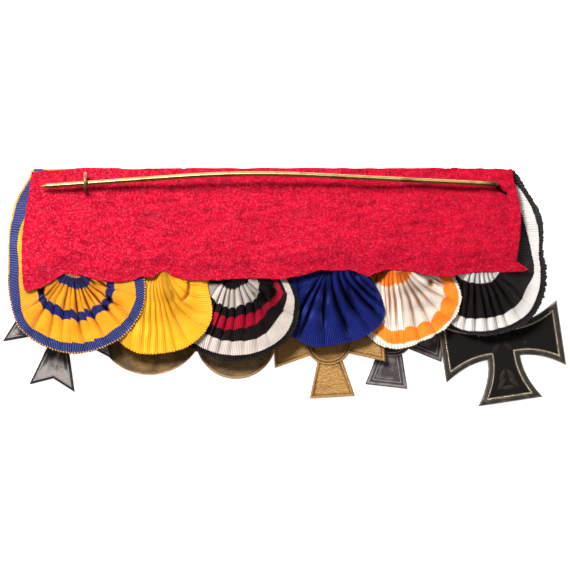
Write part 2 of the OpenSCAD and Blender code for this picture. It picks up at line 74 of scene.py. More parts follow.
# smooth curve through values an even step apart, with the slope of their neighbours at each
def throughPoints(values, u):
    v = np.array(values, float)
    n = len(v) - 1
    i = np.clip(np.floor(u * n).astype(int), 0, n - 1)
    s = u * n - i
    a, b, c, d = v[np.maximum(i - 1, 0)], v[i], v[i + 1], v[np.minimum(i + 2, n)]
    return b + 0.5 * s * (c - a + s * (2 * a - 5 * b + 4 * c - d + s * (3 * (b - c) + d - a)))


# waves of about one size in seeded directions, added up, from about -1 to 1
def ripple(x, y, size, seed, count=9):
    r = np.random.default_rng(seed)
    turn, phase = r.uniform(0, 2 * np.pi, (2, count))
    k = 2 * np.pi / (size * r.uniform(0.6, 1.7, count))
    x, y = np.asarray(x, float)[..., None], np.asarray(y, float)[..., None]
    return np.sin(k * (x * np.cos(turn) + y * np.sin(turn)) + phase).sum(-1) / math.sqrt(count)


# quads between neighbours of a grid of points, wrapped round if its columns close
def gridFaces(rows, cols, wrap=False):
    i = np.arange(rows * cols).reshape(rows, cols)
    j = np.roll(i, -1, axis=1) if wrap else i[:, 1:]
    i = i if wrap else i[:, :-1]
    return np.stack([i[:-1], i[1:], j[1:], j[:-1]], -1).reshape(-1, 4).tolist()


# rings of points, one after another, with a flat cap at both ends
def cappedFaces(rings, around):
    last = (rings - 1) * around
    return gridFaces(rings, around, wrap=True) + [list(range(around)), list(range(last + around - 1, last - 1, -1))]


# a closed profile carried round a closed path: its last ring meets its first
def ringFaces(rings, around):
    i = np.arange(rings * around).reshape(rings, around)
    j = np.roll(i, -1, axis=1)
    return np.stack([i, j, np.roll(j, -1, axis=0), np.roll(i, -1, axis=0)], -1).reshape(-1, 4).tolist()


# a tube along a path as points and faces: each ring lies across the path, its first direction as
# near ref as can be
def tube(path, radius, around=16, ref=(0, 0, 1)):
    path = np.asarray(path, float)
    along = np.gradient(path, axis=0)
    along /= np.linalg.norm(along, axis=1, keepdims=True)
    side = np.cross(along, np.asarray(ref, float))
    side /= np.linalg.norm(side, axis=1, keepdims=True)
    up = np.cross(side, along)
    a = np.linspace(0, 2 * np.pi, around, endpoint=False)[None, :, None]
    r = np.broadcast_to(np.asarray(radius, float), len(path))[:, None, None]
    return path[:, None] + r * (np.cos(a) * side[:, None] + np.sin(a) * up[:, None]), cappedFaces(len(path), around)


# area of a grid of points: half the cross product of each quad's diagonals, added up
def gridArea(grid):
    a, b = grid[1:, 1:] - grid[:-1, :-1], grid[1:, :-1] - grid[:-1, 1:]
    return float(np.linalg.norm(np.cross(a, b), axis=2).sum() / 2)


# how far along a path each of its points lies: its steps, added up
def reachAlong(path):
    return np.concatenate([[0], np.cumsum(np.linalg.norm(np.diff(path, axis=0), axis=1))])


# several (points, faces) or (points, faces, wear) as one mesh, each with its faces counted from 0
def joined(parts):
    points, faces, wearAndPaintedLight, first = [], [], [], 0
    for p, f, *w in parts:
        p = np.asarray(p).reshape(-1, 3)
        points.append(p)
        wearAndPaintedLight.append(np.broadcast_to(np.asarray(w[0] if w else 0.0, float), len(p)))
        faces += [[k + first for k in face] for face in f]
        first += len(p)
    return np.concatenate(points), faces, np.concatenate(wearAndPaintedLight)


# puts points in millimetres and faces into a mesh, with an own UV map and named values on points
def makePiece(name, points, faces, uv=None, extra=None, sharpAngle=None):
    mesh = bpy.data.meshes.new(name)
    mesh.from_pydata((np.asarray(points).reshape(-1, 3) * mm).tolist(), [], faces)
    if uv is not None:
        corner = np.zeros(len(mesh.loops), np.int32)
        mesh.loops.foreach_get("vertex_index", corner)
        layer = mesh.uv_layers.new(name="cloth")
        layer.data.foreach_set("uv", np.asarray(uv, np.float32).reshape(-1, 2)[corner].ravel())
    for key, values in (extra or {}).items():
        mesh.attributes.new(key, "FLOAT", "POINT").data.foreach_set("value", values.ravel())
    mesh.polygons.foreach_set("use_smooth", [True] * len(mesh.polygons))
    if sharpAngle:
        mesh.set_sharp_from_angle(angle=math.radians(sharpAngle))
    mesh.update()
    piece = bpy.data.objects.new(name, mesh)
    scene.collection.objects.link(piece)
    return piece


# gives a sheet its thickness, half to each side of its middle surface; where hem rises from 0
# to 1 it is pressed to half, in eight steps
def thicken(piece, thickness, hem=None):
    wall = piece.modifiers.new("wall", "SOLIDIFY")
    wall.thickness, wall.offset, wall.use_even_offset = thickness * mm, 0, False
    if hem is not None:
        group = piece.vertex_groups.new(name="wall")
        for step in range(9):
            here = np.flatnonzero(np.round(hem.ravel() * 8) == step).tolist()
            group.add(here, 1 - 0.5 * step / 8, "REPLACE")
        wall.vertex_group = "wall"


# gives a piece its material, puts it under the root body and hides the nodes that it stands for
# slotName: not used
def dress(piece, material, slotName, *nodes):
    piece.data.materials.clear()
    piece.data.materials.append(material)
    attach(piece, "root")
    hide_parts(*nodes)


# an sRGB hex colour as linear light
def linear(hexColour):
    c = np.array([int(hexColour[i:i + 2], 16) / 255 for i in (1, 3, 5)])
    c = np.where(c <= 0.04045, c / 12.92, ((c + 0.055) / 1.055) ** 2.4)
    return (*c.tolist(), 1)


# adds a node with its settings and links; inputs stand in order or by key, and each is a number,
# a hex colour, a socket, or a node whose first live output is meant
def addNode(tree, kind, settings=None, inputs=None):
    node = tree.nodes.new("ShaderNode" + kind)
    for key, value in (settings or {}).items():
        setattr(node, key, value)
    inputs = inputs or {}
    for key, value in inputs.items() if isinstance(inputs, dict) else enumerate(inputs):
        if isinstance(value, bpy.types.Node):
            value = next(out for out in value.outputs if out.enabled)
        if isinstance(value, bpy.types.NodeSocket):
            tree.links.new(value, node.inputs[key])
        else:
            node.inputs[key].default_value = linear(value) if isinstance(value, str) else value
    return node


# a material with its shader's sockets set; colours given as hex
def newMaterial(name, sockets):
    material = bpy.data.materials.new(name)
    material.use_nodes = True
    tree = material.node_tree
    shader = tree.nodes["Principled BSDF"]
    for key, value in sockets.items():
        shader.inputs[key].default_value = linear(value) if isinstance(value, str) else value
    return material, tree, shader


# ends a material: its colour, and a bump as deep as given in millimetres
def coat(tree, shader, colour, height, depth):
    bump = addNode(tree, "Bump", {}, {"Strength": 1.0, "Distance": depth * mm, "Height": height})
    tree.links.new(colour, shader.inputs["Base Color"])
    tree.links.new(bump.outputs[0], shader.inputs["Normal"])


# an object's own coordinates in millimetres
def ownPlace(tree):
    place = addNode(tree, "TexCoord")
    return addNode(tree, "Mapping", {}, {"Vector": place.outputs["Object"], "Scale": (1000, 1000, 1000)})


# Silk ribbon, woven with a rib across it, which gives fine lines along every fold: bands of dyed
# warp, each lighter on its ribs and darker in the grooves between them, painted highlight and shade
# over the one dye, and small loops at the edge. The real ribs are near 0.3 mm, too fine to show, so
# they are drawn at 0.62 mm. The UV map runs along the ribbon in millimetres and across it from 0 to
# 1; "fold" tells how much painted shade a point gets: 1 in a crease, above 1 in a pocket, negative
# for a painted highlight where a pleat stands up into the light.
silkLook = dict(ribPitch=0.62, ribDepth=0.10, groove=0.12, jag=0.004, loopPitch=0.93, loopWide=0.02,
                roughness=0.36, threadSize=(1.9, 1.5, 1), patchSize=(0.15, 4, 1), pocket=0.12)


# thread and patch: how much threads and wide patches vary. ridge: how bright the painted highlight on a pleat's ridge
# is. crease: the colour of the painted shade in a crease.
def ribbonSilk(name, bands, loops, crease, thread=0.2, patch=0.12, gloss=0.3, ridge=1.5, glint="#FFFFFF"):
    look = silkLook
    material, tree, shader = newMaterial(name, {"Roughness": look["roughness"], "Specular IOR Level": gloss,
                                                "Specular Tint": glint})
    cloth = addNode(tree, "UVMap", {"uv_map": "cloth"})
    along, across = addNode(tree, "SeparateXYZ", {}, [cloth]).outputs[:2]
    turn = addNode(tree, "Math", {"operation": "MULTIPLY"}, [along, 2 * math.pi / look["ribPitch"]])
    rib = addNode(tree, "Math", {"operation": "SINE"}, [turn])
    jag = addNode(tree, "Math", {"operation": "MULTIPLY_ADD"}, [rib, look["jag"], across])
    ramps = []
    for which in (1, 2):
        ramp = addNode(tree, "ValToRGB", {}, [jag])
        ramp.color_ramp.interpolation = "CONSTANT"
        stops = ramp.color_ramp.elements
        for stop, band in zip(stops, bands):
            stop.position, stop.color = band[0], linear(band[which])
        for band in bands[2:]:
            stops.new(band[0]).color = linear(band[which])
        ramps.append(ramp)
    onRib = addNode(tree, "MapRange", {}, [rib, look["groove"], 1.0])
    woven = addNode(tree, "Mix", {"data_type": "RGBA"}, {0: onRib, 6: ramps[1], 7: ramps[0]})
    # threads vary from one to the next, and the cloth in wide soft patches
    light = 1 - thread - patch
    for amount, size in ((thread, look["threadSize"]), (patch, look["patchSize"])):
        spread = addNode(tree, "VectorMath", {"operation": "MULTIPLY"}, [cloth, size])
        noise = addNode(tree, "TexNoise", {"noise_dimensions": "2D"},
                        {"Vector": spread, "Scale": 1.0, "Detail": 2.0})
        light = addNode(tree, "Math", {"operation": "MULTIPLY_ADD"}, [noise, 2 * amount, light])
    # painted light from the fold values: a painted highlight on a pleat's ridge, deep painted shade in a pocket, and
    # the crease colour multiplied in as painted shade where it is creased
    fold = addNode(tree, "Attribute", {"attribute_name": "fold"}).outputs["Fac"]
    for start, end, bright in ((0.0, -1.0, ridge), (1.0, 2.0, look["pocket"])):
        share = addNode(tree, "MapRange", {}, [fold, start, end, 1.0, bright])
        light = addNode(tree, "Math", {"operation": "MULTIPLY"}, [light, share])
    plain = addNode(tree, "VectorMath", {"operation": "SCALE"}, {0: woven, "Scale": light})
    body = addNode(tree, "Mix", {"data_type": "RGBA", "blend_type": "MULTIPLY"},
                   {0: fold, 6: plain, 7: crease})
    # light and dark loops by turns
    fromEdge = addNode(tree, "Math", {"operation": "PINGPONG"}, [across, 0.5])
    atEdge = addNode(tree, "Math", {"operation": "LESS_THAN"}, [fromEdge, look["loopWide"]])
    loopTurn = addNode(tree, "Math", {"operation": "MODULO"}, [along, look["loopPitch"]])
    loopUp = addNode(tree, "Math", {"operation": "GREATER_THAN"}, [loopTurn, look["loopPitch"] / 2])
    loop = addNode(tree, "Mix", {"data_type": "RGBA"}, {0: loopUp, 6: loops[0], 7: loops[1]})
    colour = addNode(tree, "Mix", {"data_type": "RGBA"}, {0: atEdge, 6: body, 7: loop})
    coat(tree, shader, colour.outputs[2], rib, look["ribDepth"])
    return material


# Felted wool, pressed and worn: no shine, mottled red with paler tufts over it, old damp marks
# from the "mark" values and painted shade in the cut from the "slit" values. It has more pale
# tufts and is lighter towards the left end, and is darker towards the right end; the hem is painted
# a little lighter, painted light against the shade of its droop. Blots and curls are in waves a
# millimetre, hairs lie along and across the cloth, places are in millimetres.
feltLook = dict(blots=0.28, curls=1.3, hairs=((0.8, 2.6, 1), (2.6, 0.8, 1)), hairLight=(0.88, 1.1), nap=0.35,
                leftX=-90.0, rightX=85.0, paleTuftsAlongX=(0.64, 0.28), deeper=(0.94, 0.82), tuft=(1.0, 1.36),
                aboveHem=14.0, hem=7.0, paintedHemLight=1.15, cut="#140407")


def woolFelt(name, deep, mid, pale, markColour):
    look = feltLook
    material, tree, shader = newMaterial(name, {
        "Roughness": 0.95, "Specular IOR Level": 0.06, "Sheen Weight": 0.05, "Sheen Roughness": 0.5,
        "Sheen Tint": pale})
    place = ownPlace(tree)
    blot = addNode(tree, "TexNoise", {}, {"Vector": place, "Scale": look["blots"], "Detail": 4.0, "Roughness": 0.66})
    curl = addNode(tree, "TexNoise", {}, {"Vector": place, "Scale": look["curls"], "Detail": 4.0,
                                          "Roughness": 0.72, "Distortion": 0.3})
    hairs = []
    for stretch in look["hairs"]:
        laid = addNode(tree, "VectorMath", {"operation": "MULTIPLY"}, [place, stretch])
        hairs.append(addNode(tree, "TexNoise", {}, {"Vector": laid, "Scale": 1.0, "Detail": 2.0, "Distortion": 0.8}))
    hair = addNode(tree, "Math", {"operation": "MAXIMUM"}, hairs)
    nap = addNode(tree, "Math", {"operation": "ADD"}, [curl, hair])
    ground = addNode(tree, "ValToRGB", {}, [blot])
    for stop, at, colour in zip(ground.color_ramp.elements, (0.25, 0.62), (deep, mid)):
        stop.position, stop.color = at, linear(colour)
    x, y = addNode(tree, "SeparateXYZ", {}, [place]).outputs[:2]
    # more pale tufts towards the left end
    paleTuftsAlongX = addNode(tree, "MapRange", {}, [x, look["leftX"], look["rightX"], *look["paleTuftsAlongX"]])
    tuft = addNode(tree, "MapRange", {}, [nap, *look["tuft"], 0.0, paleTuftsAlongX])
    withTuft = addNode(tree, "Mix", {"data_type": "RGBA"}, {0: tuft, 6: ground, 7: pale})
    light = addNode(tree, "MapRange", {}, [hair, 0.42, 0.72, *look["hairLight"]])
    # darker towards the right end, and the hem painted lighter, painted light against the shade of its droop
    for part in ([x, look["leftX"], look["rightX"], *look["deeper"]],
                 [y, look["aboveHem"], look["hem"], 1.0, look["paintedHemLight"]]):
        share = addNode(tree, "MapRange", {}, part)
        light = addNode(tree, "Math", {"operation": "MULTIPLY"}, [light, share])
    body = addNode(tree, "VectorMath", {"operation": "SCALE"}, {0: withTuft, "Scale": light})
    # the damp marks in their own colour, and painted shade inside the slit
    for key, stainAndShade in (("mark", markColour), ("slit", look["cut"])):
        share = addNode(tree, "Attribute", {"attribute_name": key}).outputs["Fac"]
        body = addNode(tree, "Mix", {"data_type": "RGBA"}, {0: share, 6: body, 7: stainAndShade})
    coat(tree, shader, body.outputs[2], nap, look["nap"])
    return material


# Struck or drawn metal with age: bright where it is rubbed, darker and duller where dirt and
# tarnish sit. tarnish: the share that is dark. spotSize and grain: mm, of the dark patches and of
# what pits the surface. depth: of the pits, mm. The values on its points are 1 where rubbed, -1
# where dirt sits; on the swallowtail cross they also carry painted shade and light, on the pin
# painted shade towards its foot and a painted reflection line.
def oldMetal(name, bright, dark, tarnish=0.5, spotSize=5.0, grain=0.4, depth=0.02, roughness=0.5,
             metallic=1.0, gloss=0.5):
    material, tree, shader = newMaterial(name, {"Metallic": metallic, "Specular IOR Level": gloss})
    place = ownPlace(tree)
    blot = addNode(tree, "TexNoise", {}, {"Vector": place, "Scale": 1 / spotSize, "Detail": 5.0, "Roughness": 0.62})
    pit = addNode(tree, "TexNoise", {}, {"Vector": place, "Scale": 1 / grain, "Detail": 3.0})
    middle = 0.5 + (tarnish - 0.5) * 0.5
    share = addNode(tree, "MapRange", {}, [blot, middle - 0.12, middle + 0.12, 1.0, 0.0])
    speck = addNode(tree, "MapRange", {}, [pit, 0.3, 0.7, 0.68, 1.15])
    wearAndPaintedLight = addNode(tree, "Attribute", {"attribute_name": "wearAndPaintedLight"}).outputs["Fac"]
    dirt = addNode(tree, "Math", {"operation": "SUBTRACT", "use_clamp": True}, [share, wearAndPaintedLight])
    body = addNode(tree, "Mix", {"data_type": "RGBA"}, {0: dirt, 6: bright, 7: dark})
    colour = addNode(tree, "VectorMath", {"operation": "SCALE"}, {0: body, "Scale": speck})
    rough = addNode(tree, "Math", {"operation": "MULTIPLY_ADD"}, [dirt, 0.18, roughness])
    tree.links.new(rough.outputs[0], shader.inputs["Roughness"])
    coat(tree, shader, colour.outputs[0], pit, depth)
    return material


# dyed yarns: (on a rib, in a groove), one dye in each, lighter on the rib as painted highlight and darker in the groove
# as painted shade
navy, orange, yellow = ("#5361AE", "#090A34"), ("#FFAE26", "#EE9416"), ("#FFBE2A", "#EEA41A")
black, white, cream = ("#2A2120", "#080505"), ("#DFD3C9", "#B9ABA1"), ("#F8EADD", "#DECDBD")
red, royal, tangerine = ("#C2143A", "#8A0A20"), ("#2A3694", "#05062A"), ("#FF9230", "#F47A18")
inkBlue, softBlue, cleanWhite = ("#2E358A", "#11134A"), ("#4450A8", "#14164E"), ("#ECE6E2", "#D0C9C4")
# each ribbon's bands from one woven edge to the other, its edge loops and its crease colour, the painted shade in its
# folds
silks = {
    1: ribbonSilk("silk orange and blue", [(0, *navy), (0.135, *orange), (0.444, *inkBlue), (0.556, *orange),
                                           (0.865, *softBlue)], ("#D89C40", "#2A2440"), "#653814"),
    2: ribbonSilk("silk yellow", [(0, *yellow), (0.5, *yellow)], ("#F3B419", "#B87414"), "#A65E12", ridge=1.3),
    3: ribbonSilk("silk black white red", [(0, *black), (0.07, *white), (0.25, *black), (0.42, *red), (0.58, *black),
                                           (0.75, *white), (0.93, *black)],
                  ("#2A272C", "#0E0C0F"), "#4E3A30", gloss=0.12),
    4: ribbonSilk("silk blue", [(0, *royal), (0.5, *royal)], ("#23257C", "#15164E"), "#100F1C", thread=0.35,
                  patch=0.3, gloss=0.6, ridge=3.0, glint="#6A7CE8"),
    5: ribbonSilk("silk cream and orange", [(0, *cream), (0.04, *tangerine), (0.20, *cream), (0.80, *tangerine),
                                            (0.96, *cream)],
                  ("#F4EADC", "#C0A890"), "#B4835A", thread=0.14, ridge=1.25),
    6: ribbonSilk("silk black and white", [(0, *black), (0.043, *cleanWhite), (0.257, *black),
                                           (0.743, *cleanWhite), (0.957, *black)],
                  ("#2E2A2C", "#0E0C0D"), "#5A4C42", gloss=0.25),
}
redFelt = woolFelt("wool felt red", "#8C021C", "#BC0528", "#F04C66", "#6C2230")
# the inner felt: the same red felt drawn darker, painted shade where it lies under the outer felt and the fans
innerFelt = woolFelt("wool felt red in painted shade", "#6E0A16", "#8E1020", "#B03040", "#6E1020")
# smooth pale yellow wire, browned in long patches
drawnBrass = oldMetal("drawn brass wire", "#B59A60", "#4E3E1A", 0.22, 8.0, 0.5, 0.004, 0.34)
# thin grey wire, dulled
ringMetal = oldMetal("nickel ring wire", "#B9B4AC", "#7A746C", 0.4, 3.0, 0.4, 0.01, 0.35)
# struck silver under grey and black tarnish, which hides most of its shine
oldSilver = oldMetal("tarnished silver", "#857D78", "#282224", 0.42, 6.0, 0.5, 0.015, 0.46, 0.35)
# brown patina, nearly matt, darker on the large disc
darkBronze = oldMetal("dark patinated bronze", "#7E5A1E", "#4C3612", 0.5, 5.0, 0.5, metallic=0.25)
wornBronze = oldMetal("worn bronze", "#8E6E42", "#5A4228", 0.45, 5.0, 0.5, 0.03, metallic=0.25)
# the disc's edge, where the patina is rubbed through
copperRim = oldMetal("rubbed copper edge", "#B88460", "#7A5236", 0.35, 5.0, 0.4, 0.01, 0.45, 0.4)
# thin gilding over a grained ground: a broken, soft yellow shine
matGilt = oldMetal("matt gilt", "#986E32", "#5A3A10", 0.25, 5.0, 0.7, 0.2, metallic=0.35)
# even grey oxide with dark lows
greySilver = oldMetal("oxidised silver", "#867D7B", "#3E3638", 0.5, roughness=0.46, metallic=0.5)
# frame silver gone brown, and the bead line on it, rubbed bright
frameSilver = oldMetal("old silver frame", "#74665A", "#2A2420", 0.55, 3.5, roughness=0.44, metallic=0.5)
beadSilver = oldMetal("rubbed bead line", "#D2C3A8", "#8C7C66", 0.3, 2.0, 0.4, 0.01, 0.36)
# black oxide, matt, brown where it is thin
blackIron = oldMetal("blackened iron", "#463C34", "#0E0A08", 1.0, 5.0, 0.5, metallic=0.0, gloss=0.1)
print("materials made")


# levels and places that the cloth pieces share: pitch of the six ribbons, top edge, middle, the
# heights of the felt's seat, ends and hem, and the slope at which each fan lies on the next
bar = dict(pitch=28.6, topY=42.58, middleX=-4.479, seatZ=4.6, endZ=5.9, hemZ=14.07, wingZ=5.15, slope=0.066)
barLeft, barRight = (bar["middleX"] + k * 3 * bar["pitch"] for k in (-1, 1))

# felt. left, right: (share of the way down, mm past the bar). hem, top: (x, y) along them.
# lumps: (mm high, mm wide). fold: the long hollow under the pin. marks: (x, y, radius, strength).
# pinch and pull: two short wrinkles near the pin's foot. slit: x from and to, y, how far it bends.
felt = dict(
    left=[(0, 0), (0.10, 0.45), (0.22, 1.2), (0.42, 2.7), (0.60, 3.4), (0.85, 3.2), (0.96, 2.9), (1, 2.4)],
    right=[(0, 0), (0.108, 0.5), (0.27, 2.1), (0.44, 2.9), (0.60, 2.7), (0.767, 1.95), (0.90, 1.2), (0.93, 3.0),
           (0.985, 5.6), (1, 3.6)],
    hem=[(-94.2, 0.3), (-92.4, -1.1), (-90.3, -1.2), (-86.3, 0.2), (-81.6, 2.9), (-78.1, 5.2),
         (-75.2, 4.3), (-72.1, 4.2), (-67.4, 2.7), (-59.9, 1.8), (-55.0, 2.4), (-50.6, 3.8),
         (-47.0, 3.4), (-44.0, 5.9), (-42.8, 5.9), (-39.6, 3.8), (-35.3, 2.5), (-28.1, 2.4),
         (-12.8, 3.3), (-0.6, 2.9), (4.4, 3.9), (12.4, 6.1), (24.0, 6.1), (29.6, 3.9),
         (36.4, 6.4), (46.1, 5.5), (54.4, 3.8), (60.4, 3.8), (61.6, 4.4), (68.2, 5.4),
         (75.8, 5.4), (84.6, 5.6), (88.0, 5.9)],
    top=[(-91, 40.9), (-88, 41.2), (-84, 41.6), (-78, 42.0), (-74, 42.5), (-59, 42.5), (-56, 42.1), (-52, 42.1),
         (-49, 42.5), (-37, 42.5), (-36, 42.2), (-35, 42.5), (20, 42.5),
         (24, 42.3), (30, 42.5), (70, 42.5), (73, 41.9), (75, 42.4), (77, 42.3), (79, 42.0), (82, 41.6)],
    thickness=1.6, lumps=[(0.32, 16), (0.19, 6), (0.07, 3.2)], fold=dict(y=33.6, deep=0.6, wide=1.3),
    pinch=dict(x=80.2, deep=0.4, wide=0.8), pull=dict(x=77.2, y=25, high=0.45, wide=1.2),
    marks=[(-86, 6.2, 2.4, 0.5), (5, 26, 2.2, 0.42), (-21.5, 38.5, 1.1, 0.7), (-47, 25.5, 3.0, 0.35)],
    slit=dict(fromX=75.6, toX=78.8, y=36.2, bend=2.9, wide=1.3, deep=0.8), columns=330, rows=110)


# across runs 0 to 1 between its two sides, down 0 to 1 from the top edge to the wavy, frayed hem
def feltPlan(across, down):
    x = mix(barLeft - straight(felt["left"], down), barRight + straight(felt["right"], down), across)
    low = straight(felt["hem"], x) + 0.12 * ripple(x, 0 * x, 2.6, 5)
    return x, mix(straight(felt["top"], x), low, down)


# underside height: from the seat at the top edge up to the hem, with a slow swell and a drooping
# hem; the seat is higher at both ends, over the wings
def feltUnder(across, down):
    ends = 1 - ease((across - 0.2) / 0.1) * ease((0.8 - across) / 0.1)
    seat = mix(bar["seatZ"], bar["endZ"], ends)
    swell = 0.12 * np.sin(2 * np.pi * 3 * across + 0.7) * np.sin(np.pi * down)
    droop = 1.3 * ease((down - 0.8) / 0.2)
    return mix(seat, bar["hemZ"], np.minimum(1, down / 0.78)) + swell * ease(down / 0.3) - droop


# what is added to its flat lie: lumps of three sizes, each fainter at the edges, the long fold
# under the pin, the two wrinkles and a lift of the hem here and there
def feltRelief(x, y, across, down):
    (big, bigWide), (mid, midWide), (small, smallWide) = felt["lumps"]
    lumps = big * ripple(x, y, bigWide, 1) + mid * ripple(x, y * 1.6, midWide, 2)
    lumps = lumps * (1 - 0.7 * ease((down - 0.75) / 0.2)) + small * ripple(x, y, smallWide, 3, 14)
    edgeFade = np.minimum(1, np.minimum(down, 1 - down) / 0.06)
    fold, pinch, pull = felt["fold"], felt["pinch"], felt["pull"]
    crease = -fold["deep"] * bell((y - fold["y"] + 0.6 * np.cos(x / 40)) / fold["wide"])
    crease *= np.sin(np.pi * np.clip(across, 0, 1)) ** 0.5
    crease = crease - pinch["deep"] * bell((x - pinch["x"]) / pinch["wide"]) * ease((y - 5) / 5) * ease((34 - y) / 4)
    bent = (x - pull["x"] + 0.06 * (y - pull["y"]) ** 2) / pull["wide"]
    crease = crease + pull["high"] * bell(bent) * ease((y - 19) / 3)
    hemLift = np.maximum(0.3 * ripple(x, 0 * x, 15, 8), -0.15) * ease((down - 0.75) / 0.25)
    return lumps * (0.4 + 0.6 * edgeFade) + crease + hemLift


across, down = np.meshgrid(np.linspace(0, 1, felt["columns"]), np.linspace(0, 1, felt["rows"]))
feltX, feltY = feltPlan(across, down)
feltZ = feltUnder(across, down) + felt["thickness"] / 2 + feltRelief(feltX, feltY, across, down)
mark = sum(s * np.exp(-(((feltX - x) / r) ** 2 + ((feltY - y) / (0.7 * r)) ** 2)) for x, y, r, s in felt["marks"])
mark = np.clip(mark * (1 + 0.5 * ripple(feltX, feltY, 2.0, 11)), 0, 1)
# slit where the pin's foot goes in: near a short curved line; the felt is pressed in there and painted dark, the shade
# inside the cut
slitRow, s = felt["slit"], np.linspace(0, 1, 9)
slitLine = np.stack([mix(slitRow["fromX"], slitRow["toX"], s), slitRow["y"] - slitRow["bend"] * s ** 0.6], -1)
away = np.sqrt(((np.stack([feltX, feltY], -1)[:, :, None] - slitLine) ** 2).sum(-1)).min(-1)
slit = ease((slitRow["wide"] - away) / 0.6)
points = np.stack([feltX, feltY, feltZ - slitRow["deep"] * slit], -1)
feltBack = makePiece("felt_cover", points, gridFaces(felt["rows"], felt["columns"]),
                     uv=np.stack([feltX, feltY], -1), extra={"mark": mark, "slit": slit})
thicken(feltBack, felt["thickness"], ease((down - 0.8) / 0.2))
dress(feltBack, redFelt, "felt_red", "felt_back")
print("felt made")

# pin. start: its tip. lean: degrees that its bow leans up. slopes: degrees, of its two straight
# runs. leftRun, bowRun: how long the left run and the bow are. elbow: radius of the turn down.
# tip: length of the point. dirty: how far back from its foot it is painted darker, as shade where
# it bends down to the felt. drawn: a dark line along its top, a painted reflection, by points round
# the wire.
pin = dict(start=(-86.847, 35.982, 12.624), span=160.4, lean=28, leftSlope=4.6, rightSlope=3.2, leftRun=48.762,
           bowRun=48.601, radius=0.88, elbow=2.0, endZ=7.49, tip=2.4, around=20, footShade=12.0, bent=7.0,
           drawn={18: -0.5, 19: -1.3, 0: -0.5})


# flat pin: straight, an arc, straight, then a quarter turn down; it leans about its ends' line
def pinPath():
    a, b, lean = (math.radians(pin[key]) for key in ("leftSlope", "rightSlope", "lean"))
    bow = pin["bowRun"] / (math.sin(a) + math.sin(b))
    rise = pin["leftRun"] * math.tan(a)
    turn = np.linspace(-a, b, 40)
    run = np.concatenate([np.linspace(0, pin["leftRun"], 24)[:-1],
                          pin["leftRun"] + bow * (np.sin(a) + np.sin(turn))])
    high = np.concatenate([np.linspace(0, rise, 24)[:-1], rise + bow * (np.cos(turn) - np.cos(a))])
    last = np.linspace(0, pin["span"] - run[-1], 24)[1:]
    run, high = np.concatenate([run, run[-1] + last]), np.concatenate([high, high[-1] - last * math.tan(b)])
    x, y, z = (at + step for at, step in zip(pin["start"], (run, high * math.cos(lean), high * math.sin(lean))))
    quarter = np.linspace(0, np.pi / 2, 12)[1:]
    x = np.concatenate([x, x[-1] + pin["elbow"] * np.sin(quarter), [x[-1] + pin["elbow"]]])
    z = np.concatenate([z, z[-1] - pin["elbow"] * (1 - np.cos(quarter)), [pin["endZ"]]])
    return np.stack([x, np.concatenate([y, np.full(len(quarter) + 1, y[-1])]), z], -1)


path = pinPath()
reach = reachAlong(path)
fine = np.concatenate([np.linspace(0, pin["tip"], 8)[:-1],
                       np.linspace(pin["tip"], reach[-1] - pin["bent"], 150),
                       np.linspace(reach[-1] - pin["bent"], reach[-1], 40)[1:]])
path = np.stack([np.interp(fine, reach, path[:, k]) for k in range(3)], -1)
radius = pin["radius"] * np.clip(0.15 + 0.85 * (fine / pin["tip"]), 0, 1)
line = np.array([pin["drawn"].get(k, 0.0) for k in range(pin["around"])])
wearAndPaintedLight = line - ease((fine - reach[-1] + pin["footShade"]) / 7)[:, None]
pinPiece = makePiece("pin_brass", *tube(path, radius, pin["around"], (0, 1, 0)), extra={"wearAndPaintedLight": wearAndPaintedLight}, sharpAngle=50)
dress(pinPiece, drawnBrass, "brass", "pin_wire")

# catch: an upright ring on a stem that goes down into the felt, both browned by handling
catch = dict(at=(-71.047, 37.404, 12.893), ring=3.2, wire=0.55, foot=6.3, brown=-0.5)
turn = np.linspace(-0.5 * np.pi, 1.5 * np.pi, 57)
x, y, z = catch["at"]
ringPath = np.stack([np.full(57, x), y + catch["ring"] * np.cos(turn), z + catch["ring"] * np.sin(turn)], -1)
stemPath = np.linspace((x, y, z - catch["ring"]), (x, y, catch["foot"]), 8)
catchPoints, catchFaces, wearAndPaintedLight = joined([(*tube(path, catch["wire"], 14, (1, 0, 0)), catch["brown"])
                                        for path in (ringPath, stemPath)])
catchPiece = makePiece("catch_brass", catchPoints, catchFaces, extra={"wearAndPaintedLight": wearAndPaintedLight}, sharpAngle=50)
dress(catchPiece, drawnBrass, "brass", "catch_ring")
print("pin made")

# what all fans share. roof: height of the hem's underside over a gather. depth, tuck: how far the
# cloth is rolled in at the gather. foldAt: shares of the way out at which a crease's places are
# given. foldWide: a crease's width as a share of the half turn. rimLong, wingLong: mm of ribbon
# along a rim and along a wing. loop: mm between the small steps of a woven edge. pleatDeep:
# (share of the way out, mm).
fanShape = dict(roof=13.6, depth=1.6, tuck=2.8, thickness=0.45, columns=330, foldAt=(0.12, 0.4, 0.7, 1.0),
                foldWide=0.019, rimLong=88.0, wingLong=37.0, loop=1.25,
                pleatDeep=[(0, 1.0), (0.12, 1.5), (0.4, 2.3), (0.7, 1.8), (0.9, 1.1), (1, 0.7)])
# what a fan has unless its row says otherwise.
# ragged: mm by which its rim is uneven. dark: mm, half width of the painted shade line in a
# crease. shade and shadeWide: how dark the painted shade beside a crease is and how far it
# reaches. glow: how bright the painted highlight on the ridge of a pleat is. zigzag: how far a band
# steps from pleat to pleat; evenRim: the power by which that dies out at gather and rim. leftLow,
# rightLow: mm by which that side lies lower.
# leftCrown: how much of its crown the left end keeps, where it has the rest and how soon.
# freeGather: 1 where no neighbour presses its gather down. litLeft: light on the gather's left.
# edges: of a ribbon of one colour.
usualFan = dict(ragged=0.10, dark=0.62, shade=0.5, shadeWide=1, glow=0.5, zigzag=0.06, evenRim=0.9, leftLow=0.0,
                rightLow=0.3, leftCrown=(0, 0.22, 0.3), freeGather=0, litLeft=0,
                edges=[(1, [0] * 9), (0, [1] * 9)])
